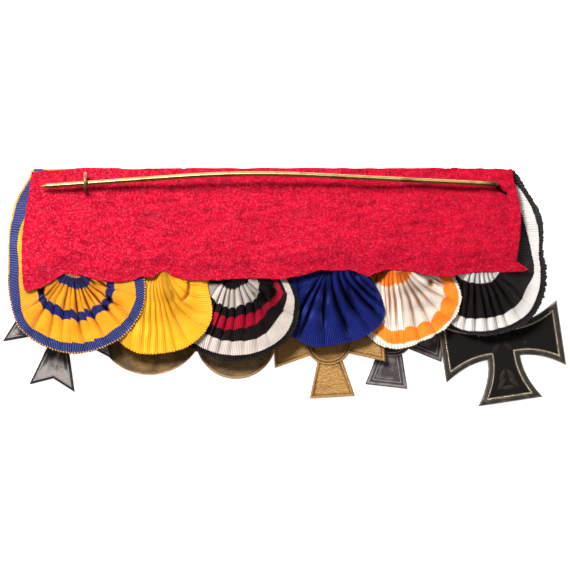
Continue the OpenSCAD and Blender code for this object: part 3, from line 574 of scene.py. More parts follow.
# each fan. centre, level: where it is gathered. gather: half its width there. bulk: how high it is
# crowned. pleat: depth of its pleats as a share of pleatDeep. rim: how far it reaches at nine even
# angles from left to right. creases: where each crease runs, as shares of the half turn at the
# four steps of foldAt, and how deep it is at those steps. edges: (share of the woven ribbon, how
# far out that line lies at nine even angles). dips: (share of the half turn, share of the way
# out, both half widths, mm deep).
fans = {
    1: dict(centre=(-75.35, 4.78), level=11.70, gather=1.5, bulk=2.3, pleat=1.15, zigzag=0.085, rightLow=0.9,
            leftCrown=(0.3, 0.2, 0.15),
            rim=[23.1, 24.3, 27.0, 27.6, 28.2, 28.2, 28.5, 27.3, 25.2],
            creases=[(0.262, 0.256, 0.22, 0.19, 0.7, 0.8, 0.5, 0.3), (0.315, 0.295, 0.298, 0.305, 0.8, 0.4, 0.8, 0.6),
                     (0.375, 0.345, 0.38, 0.39, 0.8, 0.3, 0.7, 0.4), (0.435, 0.425, 0.44, 0.45, 0.9, 0.9, 0.4, 0.2),
                     (0.48, 0.475, 0.49, 0.50, 0.9, 0.3, 0.1, 0.1), (0.523, 0.528, 0.54, 0.555, 1.2, 1.3, 0.9, 0.5),
                     (0.57, 0.575, 0.59, 0.60, 0.9, 0.4, 0.2, 0.1), (0.605, 0.615, 0.635, 0.65, 1.0, 1.2, 0.9, 0.5),
                     (0.64, 0.665, 0.69, 0.70, 0.9, 0.8, 0.2, 0.1), (0.67, 0.705, 0.73, 0.74, 1.0, 1.3, 1.0, 0.6),
                     (0.705, 0.765, 0.79, 0.79, 0.9, 0.9, 1.1, 0.7), (0.75, 0.84, 0.88, 0.89, 0.6, 0.5, 0.4, 0.3)],
            edges=[(1, [0.045] * 9), (0.865, [0.19, 0.19, 0.18, 0.165, 0.18, 0.185, 0.18, 0.19, 0.19]),
                   (0.556, [0.44, 0.41, 0.43, 0.44, 0.45, 0.44, 0.43, 0.39, 0.40]),
                   (0.444, [0.57, 0.53, 0.54, 0.56, 0.57, 0.56, 0.54, 0.51, 0.52]),
                   (0.135, [0.80, 0.81, 0.865, 0.86, 0.865, 0.86, 0.84, 0.85, 0.80]), (0, [1] * 9)],
            dips=[(0.19, 0.46, 0.035, 0.05, 1.8), (0.785, 0.23, 0.022, 0.05, 1.4), (0.84, 0.36, 0.016, 0.1, 1.3),
                  (0.778, 0.54, 0.018, 0.035, 1.8), (0.728, 0.605, 0.013, 0.035, 1.5)]),
    2: dict(centre=(-43.26, 5.38), level=11.24, gather=1.5, bulk=2.4, pleat=1.0, dark=0.38,
            rim=[13.8, 18.0, 26.4, 30.0, 29.1, 27.3, 24.0, 17.4, 15.3],
            creases=[(0.20, 0.26, 0.34, 0.37, 0.4, 0.5, 0.5, 0.3), (0.25, 0.36, 0.40, 0.42, 0.5, 0.7, 0.8, 0.5),
                     (0.30, 0.40, 0.437, 0.445, 0.6, 0.9, 0.9, 0.8), (0.345, 0.44, 0.47, 0.477, 0.7, 0.9, 0.9, 0.8),
                     (0.385, 0.475, 0.505, 0.512, 0.7, 0.8, 0.8, 0.7), (0.43, 0.508, 0.54, 0.552, 0.6, 0.7, 0.8, 0.7),
                     (0.48, 0.545, 0.585, 0.61, 0.5, 1.2, 0.9, 0.4), (0.56, 0.59, 0.655, 0.715, 0.2, 0.5, 0.5, 0.3),
                     (0.61, 0.645, 0.71, 0.79, 0.4, 0.8, 0.4, 0.2), (0.67, 0.72, 0.785, 0.845, 0.3, 0.6, 0.5, 0.3),
                     (0.75, 0.80, 0.86, 0.90, 0.2, 0.4, 0.5, 0.3)],
            dips=[(0.72, 0.46, 0.06, 0.025, 1.1), (0.80, 0.44, 0.05, 0.04, 1.2), (0.60, 0.33, 0.02, 0.07, 0.5)]),
    3: dict(centre=(-17.86, 3.28), level=10.33, gather=1.8, bulk=3.1, pleat=1.1, ragged=0.24, dark=0.45,
            rim=[18.0, 24.0, 28.5, 29.4, 29.4, 28.8, 28.5, 24.9, 18.9],
            creases=[(0.25, 0.27, 0.32, 0.34, 0.5, 0.5, 0.4, 0.3), (0.325, 0.345, 0.355, 0.37, 1.0, 0.9, 0.5, 0.3),
                     (0.385, 0.402, 0.39, 0.388, 1.0, 1.2, 0.9, 0.5), (0.437, 0.452, 0.437, 0.43, 1.0, 1.1, 1.1, 0.6),
                     (0.50, 0.505, 0.487, 0.48, 1.0, 1.0, 0.5, 0.3), (0.57, 0.588, 0.55, 0.53, 1.1, 1.1, 0.6, 0.3),
                     (0.638, 0.66, 0.61, 0.59, 1.0, 1.2, 0.5, 0.3), (0.70, 0.715, 0.665, 0.65, 1.0, 0.8, 0.5, 0.2),
                     (0.75, 0.79, 0.80, 0.82, 0.7, 0.8, 0.7, 0.3), (0.82, 0.88, 0.90, 0.91, 0.4, 0.5, 0.4, 0.2)],
            edges=[(1, [0] * 9), (0.93, [0.34, 0.33, 0.16, 0.155, 0.16, 0.13, 0.13, 0.10, 0.10]),
                   (0.75, [0.42, 0.41, 0.36, 0.335, 0.34, 0.33, 0.31, 0.24, 0.20]),
                   (0.58, [0.47, 0.47, 0.45, 0.44, 0.45, 0.45, 0.48, 0.57, 0.58]),
                   (0.42, [0.60, 0.60, 0.60, 0.595, 0.60, 0.60, 0.55, 0.68, 0.70]),
                   (0.25, [0.75, 0.75, 0.74, 0.73, 0.75, 0.78, 0.72, 0.76, 0.78]),
                   (0.07, [0.92, 0.92, 0.92, 0.92, 0.925, 0.945, 0.92, 0.90, 0.95]), (0, [1] * 9)],
            dips=[(0.72, 0.30, 0.018, 0.04, 0.7), (0.77, 0.42, 0.04, 0.06, 1.1), (0.86, 0.54, 0.05, 0.07, 1.1)]),
    4: dict(centre=(19.20, 6.28), level=10.20, gather=6.6, bulk=3.1, pleat=1.5, ragged=0.08, dark=0.85, shade=1.0,
            shadeWide=1.5, glow=2.2, rightLow=0.8,
            rim=[14.4, 21.6, 28.2, 28.8, 26.4, 25.2, 23.1, 13.8, 9.0],
            creases=[(0.22, 0.21, 0.20, 0.20, 0.2, 0.2, 0.3, 0.3), (0.305, 0.29, 0.29, 0.295, 0.8, 1.2, 1.2, 0.9),
                     (0.345, 0.335, 0.338, 0.335, 0.8, 1.1, 1.1, 0.9), (0.378, 0.40, 0.425, 0.44, 0.8, 1.2, 0.9, 0.3),
                     (0.418, 0.475, 0.53, 0.56, 1.2, 1.4, 1.3, 0.6), (0.50, 0.56, 0.62, 0.66, 1.2, 1.4, 0.9, 0.3),
                     (0.56, 0.65, 0.705, 0.74, 1.1, 1.3, 1.2, 0.7), (0.645, 0.71, 0.76, 0.79, 1.2, 1.2, 0.9, 0.5),
                     (0.71, 0.76, 0.80, 0.83, 0.8, 0.7, 0.5, 0.3)],
            dips=[(0.405, 0.45, 0.028, 0.22, 0.9), (0.585, 0.38, 0.028, 0.18, 0.8), (0.69, 0.14, 0.025, 0.07, 0.9),
                  (0.18, 0.55, 0.06, 0.05, 0.8)]),
    5: dict(centre=(38.59, 5.68), level=8.90, gather=4.8, bulk=4.9, pleat=0.95, ragged=0.12, dark=0.9, shade=0.35,
            zigzag=0.10, evenRim=0.45, leftLow=2.3,
            rim=[7.2, 10.8, 16.8, 24.0, 27.6, 27.0, 27.6, 26.4, 21.0],
            creases=[(0.345, 0.40, 0.45, 0.46, 0.6, 0.6, 0.3, 0.2), (0.39, 0.445, 0.475, 0.48, 0.8, 0.7, 0.5, 0.3),
                     (0.445, 0.478, 0.49, 0.50, 0.9, 1.0, 0.7, 0.5), (0.495, 0.52, 0.522, 0.527, 0.9, 1.0, 0.9, 0.6),
                     (0.555, 0.57, 0.562, 0.55, 0.8, 0.6, 0.4, 0.3), (0.60, 0.625, 0.62, 0.615, 0.9, 1.0, 1.1, 0.9),
                     (0.65, 0.68, 0.688, 0.69, 0.9, 1.1, 1.2, 1.2), (0.69, 0.732, 0.755, 0.77, 0.9, 1.0, 0.7, 0.5),
                     (0.75, 0.79, 0.83, 0.845, 0.5, 0.7, 1.0, 0.8), (0.82, 0.86, 0.89, 0.90, 0.3, 0.8, 0.6, 0.4)],
            edges=[(1, [-0.05] * 9), (0.96, [0.02] * 9), (0.80, [0.38, 0.38, 0.36, 0.23, 0.16, 0.14, 0.09, 0.07, 0.05]),
                   (0.20, [0.75, 0.75, 0.74, 0.725, 0.70, 0.725, 0.715, 0.61, 0.57]),
                   (0.04, [0.93, 0.93, 0.93, 0.92, 0.905, 0.94, 0.95, 0.94, 0.90]), (0, [1] * 9)],
            dips=[(0.85, 0.42, 0.028, 0.05, 1.8), (0.90, 0.56, 0.012, 0.1, 1.3), (0.29, 0.24, 0.03, 0.07, 0.8)]),
    6: dict(centre=(70.0, 5.08), level=8.39, gather=5.1, bulk=5.4, pleat=1.35, ragged=0.22, zigzag=0.05, leftLow=0.6,
            rightLow=1.0, freeGather=1, litLeft=1.0,
            rim=[12.6, 16.2, 19.8, 21.6, 22.4, 22.9, 23.9, 23.7, 23.1],
            creases=[(0.25, 0.32, 0.355, 0.365, 0.6, 0.7, 0.6, 0.4), (0.34, 0.388, 0.405, 0.41, 1.0, 1.2, 1.0, 0.6),
                     (0.42, 0.447, 0.465, 0.47, 1.0, 1.4, 1.3, 0.9), (0.48, 0.512, 0.537, 0.54, 1.0, 1.3, 1.2, 0.9),
                     (0.54, 0.572, 0.59, 0.592, 1.0, 1.3, 1.2, 0.9), (0.60, 0.632, 0.642, 0.645, 1.0, 1.3, 1.1, 0.7),
                     (0.66, 0.70, 0.715, 0.72, 0.9, 1.1, 0.5, 0.3), (0.74, 0.79, 0.80, 0.82, 0.3, 0.4, 0.2, 0.1)],
            edges=[(1, [-0.02] * 9), (0.957, [0.01] * 9),
                   (0.743, [0.30, 0.26, 0.22, 0.195, 0.185, 0.165, 0.10, 0.04, 0.02]),
                   (0.257, [0.80, 0.80, 0.80, 0.765, 0.705, 0.685, 0.67, 0.635, 0.74]),
                   (0.043, [0.98, 0.98, 0.985, 0.975, 0.92, 0.90, 0.895, 0.875, 0.86]), (0, [1] * 9)],
            dips=[(0.78, 0.33, 0.05, 0.12, 0.5), (0.19, 0.40, 0.07, 0.08, 0.8)]),
}
# the outer ribbons' run from the fan up to the top edge: (share of the way up, mm past the bar)
wings = {
    1: [(0, 8.0), (0.1, 8.25), (0.233, 8.4), (0.37, 8.3), (0.473, 7.9), (0.57, 7.1), (0.668, 6.4), (0.765, 4.9),
        (0.86, 2.7), (0.95, 0.7), (1, 0.1)],
    6: [(0, 10.5), (0.08, 10.2), (0.16, 9.9), (0.24, 10.4), (0.33, 11.0), (0.45, 11.0), (0.55, 10.4), (0.64, 9.0),
        (0.74, 6.7), (0.84, 4.4), (0.92, 2.9), (1, 0.6)],
}
# their bands: woven share, then (share of the way up, share of the way out)
wingEdges = {
    1: [(1, [(0, 0)]), (0.865, [(0, 0.13)]), (0.556, [(0, 0.44)]), (0.444, [(0, 0.55)]),
        (0.135, [(0, 0.865), (0.23, 0.885), (0.4, 0.87), (0.5, 0.835), (0.65, 0.78), (1, 0.7)]), (0, [(0, 1)])],
    6: [(1, [(0, -0.02)]), (0.957, [(0, 0.03)]), (0.743, [(0, 0.25)]),
        (0.257, [(0, 0.89), (0.1, 0.90), (0.18, 0.872), (0.32, 0.835), (0.47, 0.79), (0.57, 0.775), (0.7, 0.73)]),
        (0.043, [(0, 0.965), (0.18, 0.958), (0.32, 0.95), (0.47, 0.931), (0.57, 0.914), (0.7, 0.925), (0.81, 0.91),
                 (0.88, 0.86), (1, 0.8)]), (0, [(0, 1)])],
}


# the uneven woven edge of a ribbon at a place along it in mm: small steps and slower waves
def woveEdge(place, seed):
    return 0.5 * np.sin(2 * np.pi * place / fanShape["loop"]) + 0.8 * ripple(place, 0 * place, 1.6, seed)


# creases: each one cuts in with walls that fall off as exp(-distance), steeper on one side; the
# same creases tell how the cloth's own lines run from the gather to the rim, and which pleat a
# point is in. How much painted shade it gets is the larger of a dark line in the crease and a soft
# shade beside it; the ridge of a pleat, a bell across it, takes some of that away as painted
# highlight and may go below 0.
def creaseField(fan, u, v, around):
    deep, dark = np.zeros_like(u), np.zeros_like(u)
    line = fan["dark"] * mix(0.7, 1, ease(v / 0.4))
    places, atRim, strengths = [np.zeros_like(v)], [0.0], [np.zeros_like(v)]
    for row in fan["creases"]:
        place, strength = (np.interp(v, fanShape["foldAt"], part) for part in (row[:4], row[4:]))
        off = u - place
        wide = fanShape["foldWide"] * np.where(off > 0, 1.35, 0.75)
        deep = deep + strength * np.exp(-np.abs(off) / wide)
        inLine = (1 - 0.85 * ease((v - 0.45) / 0.4)) * bell(off * around / line)
        reach = np.where(off > 0, 0.9, 1.7) * fan["shadeWide"]
        beside = fan["shade"] * mix(0.6, 1, ease(v / 0.35)) * np.exp(-np.abs(off) * around / reach)
        dark = np.maximum(dark, np.minimum(strength, 1.2) * np.maximum(inLine, beside))
        places.append(place)
        atRim.append(row[3])
        strengths.append(strength)
    places.append(np.ones_like(v))
    strengths.append(np.zeros_like(v))
    pleat = between(u, places, range(len(places)))
    part = pleat - np.floor(pleat)
    near = sum(np.where(np.floor(pleat) == k, np.minimum(np.maximum(a, b), 1), 0)
               for k, (a, b) in enumerate(zip(strengths[:-1], strengths[1:])))
    ridge = near * bell((part - 0.38) / 0.2) * ease((v - 0.03) / 0.1)
    return deep, dark - fan["glow"] * ridge * (1 - dark), between(u, places, atRim + [1.0]), pleat


# fan sheet: u runs from left to right round the gather, v from the gather to the rim. It rises
# from the slope all fans lie on by a crown that dies out towards the rim and by the pleats, and
# is cut by the creases and dips. Its bands lie between the edges, shifted where it is creased.
def fanPoints(number, fan, u, v):
    angle = np.pi * (1 + u)
    cx, cy = fan["centre"]
    depth = fanShape["depth"]
    rimAt = throughPoints(fan["rim"], u)
    around = np.pi * mix(0.75 * fan["gather"] + depth, rimAt, v)
    deep, dark, cloth, pleat = creaseField(fan, u, v, around)
    uneven = fan["ragged"] * woveEdge(cloth * fanShape["rimLong"], number)
    rimAt = rimAt - 0.5 * np.minimum(deep, 1) * ease((v - 0.6) / 0.4) + 0.25 + uneven * ease((v - 0.965) / 0.03)
    x = cx + mix(fan["gather"] + depth, rimAt, v) * np.cos(angle)
    y = mix(cy + fanShape["tuck"] + depth * np.sin(angle), cy + rimAt * np.sin(angle), v)
    kept, leftAt, leftWide = fan["leftCrown"]
    side = mix(kept, 1, ease((u - leftAt) / leftWide)) * (1 - 0.85 * ease((u - 0.75) / 0.22))
    free = fan["freeGather"] * (1 - ease((v - 0.08) / 0.32)) * (1 - ease((u - 0.5) / 0.1))
    crown = fan["bulk"] * mix(side, 1, free) * (1 - ease((v - 0.1) / 0.75)) - 0.4 * ease((v - 0.8) / 0.2)
    high = straight(fanShape["pleatDeep"], v) * fan["pleat"]
    z = fan["level"] + bar["slope"] * (x - cx) + crown + high * (0.45 - np.minimum(deep, 1.5))
    z += 0.22 * ripple(x, y, 9, 40 + number) - fan["leftLow"] * (1 - ease((u - 0.3) / 0.25))
    z -= fan["rightLow"] * ease((u - 0.6) / 0.12)
    # each dip is pressed in and painted with shade, darker the deeper it is
    for du, dv, wideU, wideV, d in fan["dips"]:
        dip = bell((u - du) / wideU) * bell((v - dv) / wideV)
        z, dark = z - d * dip, np.maximum(dark, min(2, 1.1 * d) * dip)
    # painted light on the left of the gather: its painted shade taken off, down to a painted highlight
    dark = dark - fan["litLeft"] * (1 - ease((u - 0.27) / 0.08)) * (1 - ease((v - 0.25) / 0.1))
    # the felt's hem presses on the gather: a soft lower-of-two with its underside
    roof = fanShape["roof"] + 1.2 * ease((v - 0.18) / 0.3)
    z = -np.log(np.exp(-6 * z) + np.exp(-6 * roof)) / 6
    slants = np.random.default_rng(60 + number).uniform(-0.5, 0.8, 20)[np.floor(pleat).astype(int)]
    shift = fan["zigzag"] * (np.minimum(deep, 1.2) + slants * (pleat - np.floor(pleat) - 0.5))
    shift = shift * np.sin(np.pi * np.clip(v, 0, 1)) ** fan["evenRim"]
    woven = between(v - shift, [throughPoints(row, u) for _, row in fan["edges"]], [at for at, _ in fan["edges"]])
    return np.stack([x, y, z], -1), woven, np.clip(dark, -1, 2), cloth


# wing sheet: s runs from the fan (0) up to the top edge (1), v from its inner to its outer edge;
# it leaves the fan's end line and settles to its own width, height and bands
def wingPoints(number, fan, s, v):
    left = number == 1
    k, corner = (-1, barLeft) if left else (1, barRight)
    ends = fanPoints(number, fan, np.full_like(v, 0.0 if left else 1.0), v)[0]
    outX = mix(ends[-1, 0, 0], corner + k * straight(wings[number], s), ease(s / 0.12))
    x = mix(ends[..., 0], mix(corner - k * 20, outX, v), ease(s / 0.35))
    y = mix(ends[..., 1], bar["topY"] - 0.6, s)
    base = fan["level"] + bar["slope"] * (x - fan["centre"][0])
    z = mix(base + ends[..., 2] - base[:, :1], bar["wingZ"] + 0 * base, ease(s / 0.9))
    wave = 0.5 * ripple(s * 30, v * 6, 9, 20 + number) * np.sin(np.pi * s) * v
    uneven = fan["ragged"] * woveEdge(s * fanShape["wingLong"], number)
    x = x + k * uneven * ease((v - 0.965) / 0.03)
    lines = [mix(row[0 if left else -1], straight(high, s), ease(s / 0.3))
             for (_, row), (_, high) in zip(fan["edges"], wingEdges[number])]
    return np.stack([x, y, z + wave], -1), between(v, lines, [at for at, _ in fan["edges"]])


# a fan's grid with its wing joined on, as one sheet; gives the piece and its flat length, which
# is its own surface shared out over the ribbon's width
def makeFan(number, fan):
    out = np.concatenate([np.linspace(0, 0.95, 40), [0.963, 0.975, 0.987, 1.0]])
    u, v = np.meshgrid(np.linspace(0, 1, fanShape["columns"]), out)
    grid, woven, fold, cloth = fanPoints(number, fan, u, v)
    rimLine = np.linalg.norm(np.diff(grid[-1, :, :2], axis=0), axis=1).sum()
    along = cloth * rimLine * 0.92
    if number in wings:
        s, w = np.meshgrid(np.linspace(0, 1, 110)[1:], out)
        climb, climbWoven = wingPoints(number, fan, s, w)
        rise = s * fanShape["wingLong"]
        if number == 1:
            sides = ((climb[:, ::-1], grid), (climbWoven[:, ::-1], woven), (0 * s, fold), (-rise[:, ::-1], along))
        else:
            # the right wing keeps a steady 0.14 of fold, which mixes a little of its crease colour into its whites
            sides = ((grid, climb), (woven, climbWoven), (fold, mix(fold[:, -1:], 0.14, ease(s / 0.2))),
                     (along, along[:, -1:] + rise))
        grid, woven, fold, along = (np.concatenate(pair, axis=1) for pair in sides)
    piece = makePiece(f"fan_silk_{number}", grid, gridFaces(*grid.shape[:2]), uv=np.stack([along, woven], -1),
                      extra={"fold": fold})
    thicken(piece, fanShape["thickness"])
    return piece, gridArea(grid) / strips["width"]


# front ribbons. width: as woven. lapY: where the end behind stops. lapZ, frontZ: heights behind
# and in front. neck: width at the ring. tail: mm past the ring.
strips = dict(width=28.4, lapY=30.58, lapZ=4.0, frontZ=0.5, neck=6.0, thickness=0.5, tail=3.0)
slotNames = {1: "ribbon_orange_blue", 2: "ribbon_yellow", 3: "ribbon_black_white_red",
             4: "ribbon_blue", 5: "ribbon_cream_orange", 6: "ribbon_black_white"}
for number, fan in fans.items():
    piece, flatLong = makeFan(number, {**usualFan, **fan})
    dress(piece, silks[number], slotNames[number], f"ribbon_fan_{number}")
print("fans made")

# each ring that a ribbon runs through: its X and Y, and the height of the ribbon behind it
hooks = {1: (-75.779, 14.194, 3.6), 2: (-48.180, 19.373, 3.1), 3: (-17.377, 6.596, 2.6),
         4: (14.168, 10.641, 3.7), 5: (41.167, 11.699, 3.0), 6: (73.399, 12.342, 3.6)}


# strip: s runs along the ribbon, from the lap behind the top edge, over it, down the front and up
# through the ring, and w across it; its width narrows to the neck near the ring
def stripPoints(number, s, w):
    hookX, hookY, backZ = hooks[number]
    middle = bar["middleX"] + (number - 3.5) * bar["pitch"]
    foot, top = hookY - 2.35, bar["topY"] - 0.3
    lap, front = strips["lapZ"], strips["frontZ"]
    line = np.array([(strips["lapY"], lap + 0.1), (36, lap), (40, lap), (top - 0.2, lap - 0.3),
                     (top, front + (lap - front) / 2), (top - 0.2, front + 0.3), (40, front), (34, front),
                     (mix(foot, 34, 0.5), front), (foot + 4, front), (foot + 1.5, front), (foot + 0.5, front + 0.4),
                     (foot + 0.5, backZ - 0.6), (foot + 1.2, backZ), (foot + 3, backZ + 0.1),
                     (hookY + strips["tail"], backZ + 0.2)])
    reach = reachAlong(line)
    y, z = (np.interp(s * reach[-1], reach, line[:, k]) for k in (0, 1))
    past = np.where(s * reach[-1] < reach[9], ease((y - hookY - 1.5) / 6.5), 0)
    half = mix(strips["neck"], strips["width"], past) / 2
    pucker = 0.12 * np.cos(w * 2 * np.pi * 5) * (1 - ease((y - hookY - 1.5) / 6.5)) * (z < 1.5)
    return np.stack([mix(hookX, middle, past) + (2 * w - 1) * half, y, z + np.abs(pucker)], -1), reach[-1]


for number in hooks:
    w, s = np.meshgrid(np.linspace(0, 1, 41), np.linspace(0, 1, 90))
    grid, stripLong = stripPoints(number, s, w)
    piece = makePiece(f"strip_silk_{number}", grid, gridFaces(90, 41), uv=np.stack([s * stripLong, w], -1))
    thicken(piece, strips["thickness"])
    dress(piece, silks[number], slotNames[number], f"ribbon_strip_{number}")
print("strips made")

# inner felt: panels between the ring places, cut clear of the medals below them. notch: half the
# gap at a ring. rounds: (x, y, radius) of the clearance round each medal.
core = dict(left=-89.1, right=80.1, low=1.78, top=41.3, z=2.2, thickness=1.9, notch=5.8,
            rounds=[(-79.55, -14.11, 25.0), (-48.18, -11.03, 21.4), (-17.38, -18.15, 15.8), (15.73, -19.41, 22.8),
                    (38.42, -16.94, 21.3), (77.46, -19.31, 25.8)])


# panel: columns in x, rows from the top edge down to the low edge or to the highest round under it
def corePanel(x0, x1):
    x, d = np.meshgrid(np.linspace(x0, x1, 40), np.linspace(0, 1, 30))
    low = np.full_like(x, core["low"])
    for cx, cy, r in core["rounds"]:
        low = np.maximum(low, cy + np.sqrt(np.clip(r * r - (x - cx) ** 2, 0, None)) * (np.abs(x - cx) < r))
    y = mix(core["top"], low, d)
    return np.stack([x, y, core["z"] + 0.08 * ripple(x, y, 7, 31)], -1), gridFaces(30, 40)


stops = [core["left"], *(x + k * core["notch"] for x, _, _ in hooks.values() for k in (-1, 1)), core["right"]]
panels, faces, _ = joined([corePanel(*pair) for pair in zip(stops[::2], stops[1::2])])
corePiece = makePiece("felt_inner", panels, faces, uv=panels[:, :2], extra={"mark": np.zeros(len(panels))})
thicken(corePiece, core["thickness"])
dress(corePiece, innerFelt, "felt_inner", "felt_core")
print("inner felt made")


# one side of a cross's arm moved in by d: from the inner corner (c, c) out to (far, e), its offset
# growing as the power bend of the way; it is cut where it meets the diagonal and the arm's end
def armSide(far, e, c, notch, bend, steps, d):
    s = np.linspace(-0.4, 1, 280)
    x = mix(c, far, s)
    y = mix(c, e, np.where(s < 0, s if bend == 1 else 0 * s, np.abs(s) ** bend))
    dx, dy = np.gradient(x), np.gradient(y)
    x, y = x + d * dy / np.hypot(dx, dy), y - d * dx / np.hypot(dx, dy)
    inside = (e * (far - x) - notch * (e - y)) / math.hypot(e, notch)
    first, last = np.interp(0, x - y, x), np.interp(d, inside[::-1], x[::-1])
    along = np.linspace(first, last, steps + 1)
    return np.stack([along, np.interp(along, x, y)], -1)


# cross outline moved in by d: one arm's points carried round four times; notch cuts into its end
def crossOutline(cross, d=0):
    e, c, notch = cross["end"], cross["corner"], cross.get("notch", 0)
    arms = []
    for q in range(4):
        far = cross.get("tall", cross["half"]) if q % 2 else cross["half"]
        side = armSide(far, e, c, notch, cross.get("bend", 1), cross["steps"], d)
        cut = np.array([[far - notch - d * math.hypot(e, notch) / e, 0]]) if notch else np.zeros((0, 2))
        arm = np.concatenate([side[1:] * (1, -1), cut, side[::-1]])
        a = q * math.pi / 2
        arms.append(arm @ np.array([[math.cos(a), math.sin(a)], [-math.sin(a), math.cos(a)]]))
    return np.concatenate(arms)


# rows of (inset, height, wear) as outlines of a cross, one after another
def crossLoops(cross, rows):
    loops = [crossOutline(cross, inset) for inset, _, _ in rows]
    n = len(loops[0])
    points = np.concatenate([np.column_stack([loop, np.full(n, z)]) for loop, (_, z, _) in zip(loops, rows)])
    return points, n, np.repeat([wearAndPaintedLight for _, _, wearAndPaintedLight in rows], n)


# rows of (place, height, wear) carried round the back: the same heights below
def mirrored(rows):
    return [(at, -z, wearAndPaintedLight) for at, z, wearAndPaintedLight in rows]


# struck plate: rows of (inset, height, wear) from the edge to the field, the same on its back.
# wear is -1 where dirt sits and 1 where the metal is rubbed bright.
def struckPlate(cross, rows):
    points, n, wearAndPaintedLight = crossLoops(cross, rows[::-1] + mirrored(rows))
    return points, cappedFaces(2 * len(rows), n), wearAndPaintedLight


# frame: rows of (inset, height, wear) from the outer edge to the inner one, closed through the back
def frameRing(cross, rows):
    points, n, wearAndPaintedLight = crossLoops(cross, rows + mirrored(rows[::-1]))
    return points, ringFaces(2 * len(rows), n), wearAndPaintedLight


# turned piece: rows of (radius, height, wear) from the middle out to the edge, carried round,
# the same on its back
def turned(rows, around=96):
    r, z, wearAndPaintedLight = np.array(rows + mirrored(rows[::-1]), float).T
    a = np.linspace(0, 2 * np.pi, around, endpoint=False)
    points = np.stack([np.outer(r, np.cos(a)), np.outer(r, np.sin(a)), np.outer(z, np.ones(around))], -1)
    return points, cappedFaces(len(r), around), np.repeat(wearAndPaintedLight, around)


# raised leaf: a pointed oval, long by wide, turned by angle in degrees, with a rounded back and a
# shallow underside inside the plate
def leafRelief(x, y, z, long, wide, angle, high=0.25):
    t, a = np.meshgrid(np.linspace(0.001, 0.999, 9), np.linspace(0, 2 * np.pi, 12, endpoint=False), indexing="ij")
    px, py = (t - 0.5) * long, wide / 2 * np.sin(np.pi * t) ** 0.7 * np.cos(a)
    pz = high * np.maximum(np.sin(a), -0.3) * np.sin(np.pi * t) ** 0.4
    turn = math.radians(angle)
    top = np.stack([x + px * math.cos(turn) - py * math.sin(turn), y + px * math.sin(turn) + py * math.cos(turn),
                    z + pz], -1)
    return top, cappedFaces(9, 12)


# raised bar between two places, with a rounded back
def barRelief(x0, y0, x1, y1, z, wide=0.35):
    return tube(np.linspace((x0, y0, z), (x1, y1, z), 10), wide / 2, 8)


# eyelet on a medal's top: a short tube with its hole along the medal's width
def eyeletParts(top, outer=1.4, inner=0.8, wide=1.8):
    a = np.linspace(0, 2 * np.pi, 24, endpoint=False)
    rows = [(inner, -wide / 2), (outer, -wide / 2), (outer, wide / 2), (inner, wide / 2)]
    points = np.concatenate([np.stack([np.full(24, x), top + r * np.cos(a), r * np.sin(a)], -1) for r, x in rows])
    return points, ringFaces(4, 24)


# medal to its place: turned in its plane, nodded about X, leaned about Y, then moved
def placed(points, medal):
    t, n, l = (math.radians(medal.get(key, 0)) for key in ("turn", "nod", "lean"))
    spin = np.array([[math.cos(t), -math.sin(t), 0], [math.sin(t), math.cos(t), 0], [0, 0, 1]])
    nod = np.array([[1, 0, 0], [0, math.cos(n), -math.sin(n)], [0, math.sin(n), math.cos(n)]])
    lean = np.array([[math.cos(l), 0, -math.sin(l)], [0, 1, 0], [math.sin(l), 0, math.cos(l)]])
    return points @ (lean @ nod @ spin).T + np.array(medal["at"])


# a medal's parts as one piece; fade: (near, far, wear there, wear there) from its middle out, painted shade and painted
# light laid over its wear
def medalPiece(name, parts, medal, material, slotName, node, sharpAngle=28):
    points, faces, wearAndPaintedLight = joined(parts)
    if "shadeToLight" in medal:
        near, far, low, high = medal["shadeToLight"]
        wearAndPaintedLight = wearAndPaintedLight + mix(low, high, ease((np.hypot(points[:, 0], points[:, 1]) - near) / (far - near)))
    piece = makePiece(name, placed(points, medal), faces, extra={"wearAndPaintedLight": wearAndPaintedLight}, sharpAngle=sharpAngle)
    dress(piece, material, slotName, node)


# swallowtail cross: dark bevel, bright raised line, smooth field, a ring round its middle
# its fade paints shade near the middle and light towards the tips of the arms
swallow = dict(at=(-79.80, -14.25, 2.508), turn=-9, lean=4.427, half=20.2, tall=22.1, end=8.35,
               corner=2.262, notch=3.596, steps=8, eyelet=19.6, shadeToLight=(12.5, 19.0, -1.5, 1.0))
medalPiece("cross_silver", [
    struckPlate(swallow, [(0, 0.30, -2), (0.8, 0.62, -2), (0.92, 0.82, 1), (1.25, 0.84, 1), (1.4, 0.64, -0.4),
                          (1.9, 0.64, 0.2), (2.4, 0.64, 0.3)]),
    turned([(5.6, 0.86, 0), (6.7, 0.86, 0.6), (6.9, 0.7, 0)]),
    eyeletParts(swallow["eyelet"])], swallow, oldSilver, "silver", "swallowtail_cross")

# large disc: rubbed rim, dark field with a shallow wreath of leaves
largeDisc = dict(at=(-48.180, -11.028, 2.319), lean=3.402, eyelet=21.4, wreath=14.5, leaf=(5.2, 2.0), rim=19.95)
wreath = [(*leafRelief(largeDisc["wreath"] * math.cos(a), largeDisc["wreath"] * math.sin(a), 0.8,
                       *largeDisc["leaf"], math.degrees(a) + 60), 0.4) for a in np.radians(range(190, 360, 20))]
medalPiece("disc_dark_bronze", [
    turned([(15.0, 0.80, 0), (18.9, 0.82, -0.3), (19.3, 0.84, -0.8), (19.5, 0.98, 0.2), (19.9, 1.0, 0.2),
            (20.1, 0.85, 0)]),
    eyeletParts(largeDisc["eyelet"])] + wreath, largeDisc, darkBronze, "bronze_dark", "large_disc")
turn = np.linspace(0, 2 * np.pi, 121)
rimPath = np.stack([largeDisc["rim"] * np.cos(turn), largeDisc["rim"] * np.sin(turn), np.full(121, 0.75)], -1)
medalPiece("disc_rim_copper", [tube(rimPath, 0.25, 8)], largeDisc, copperRim, "bronze_dark", "large_disc")

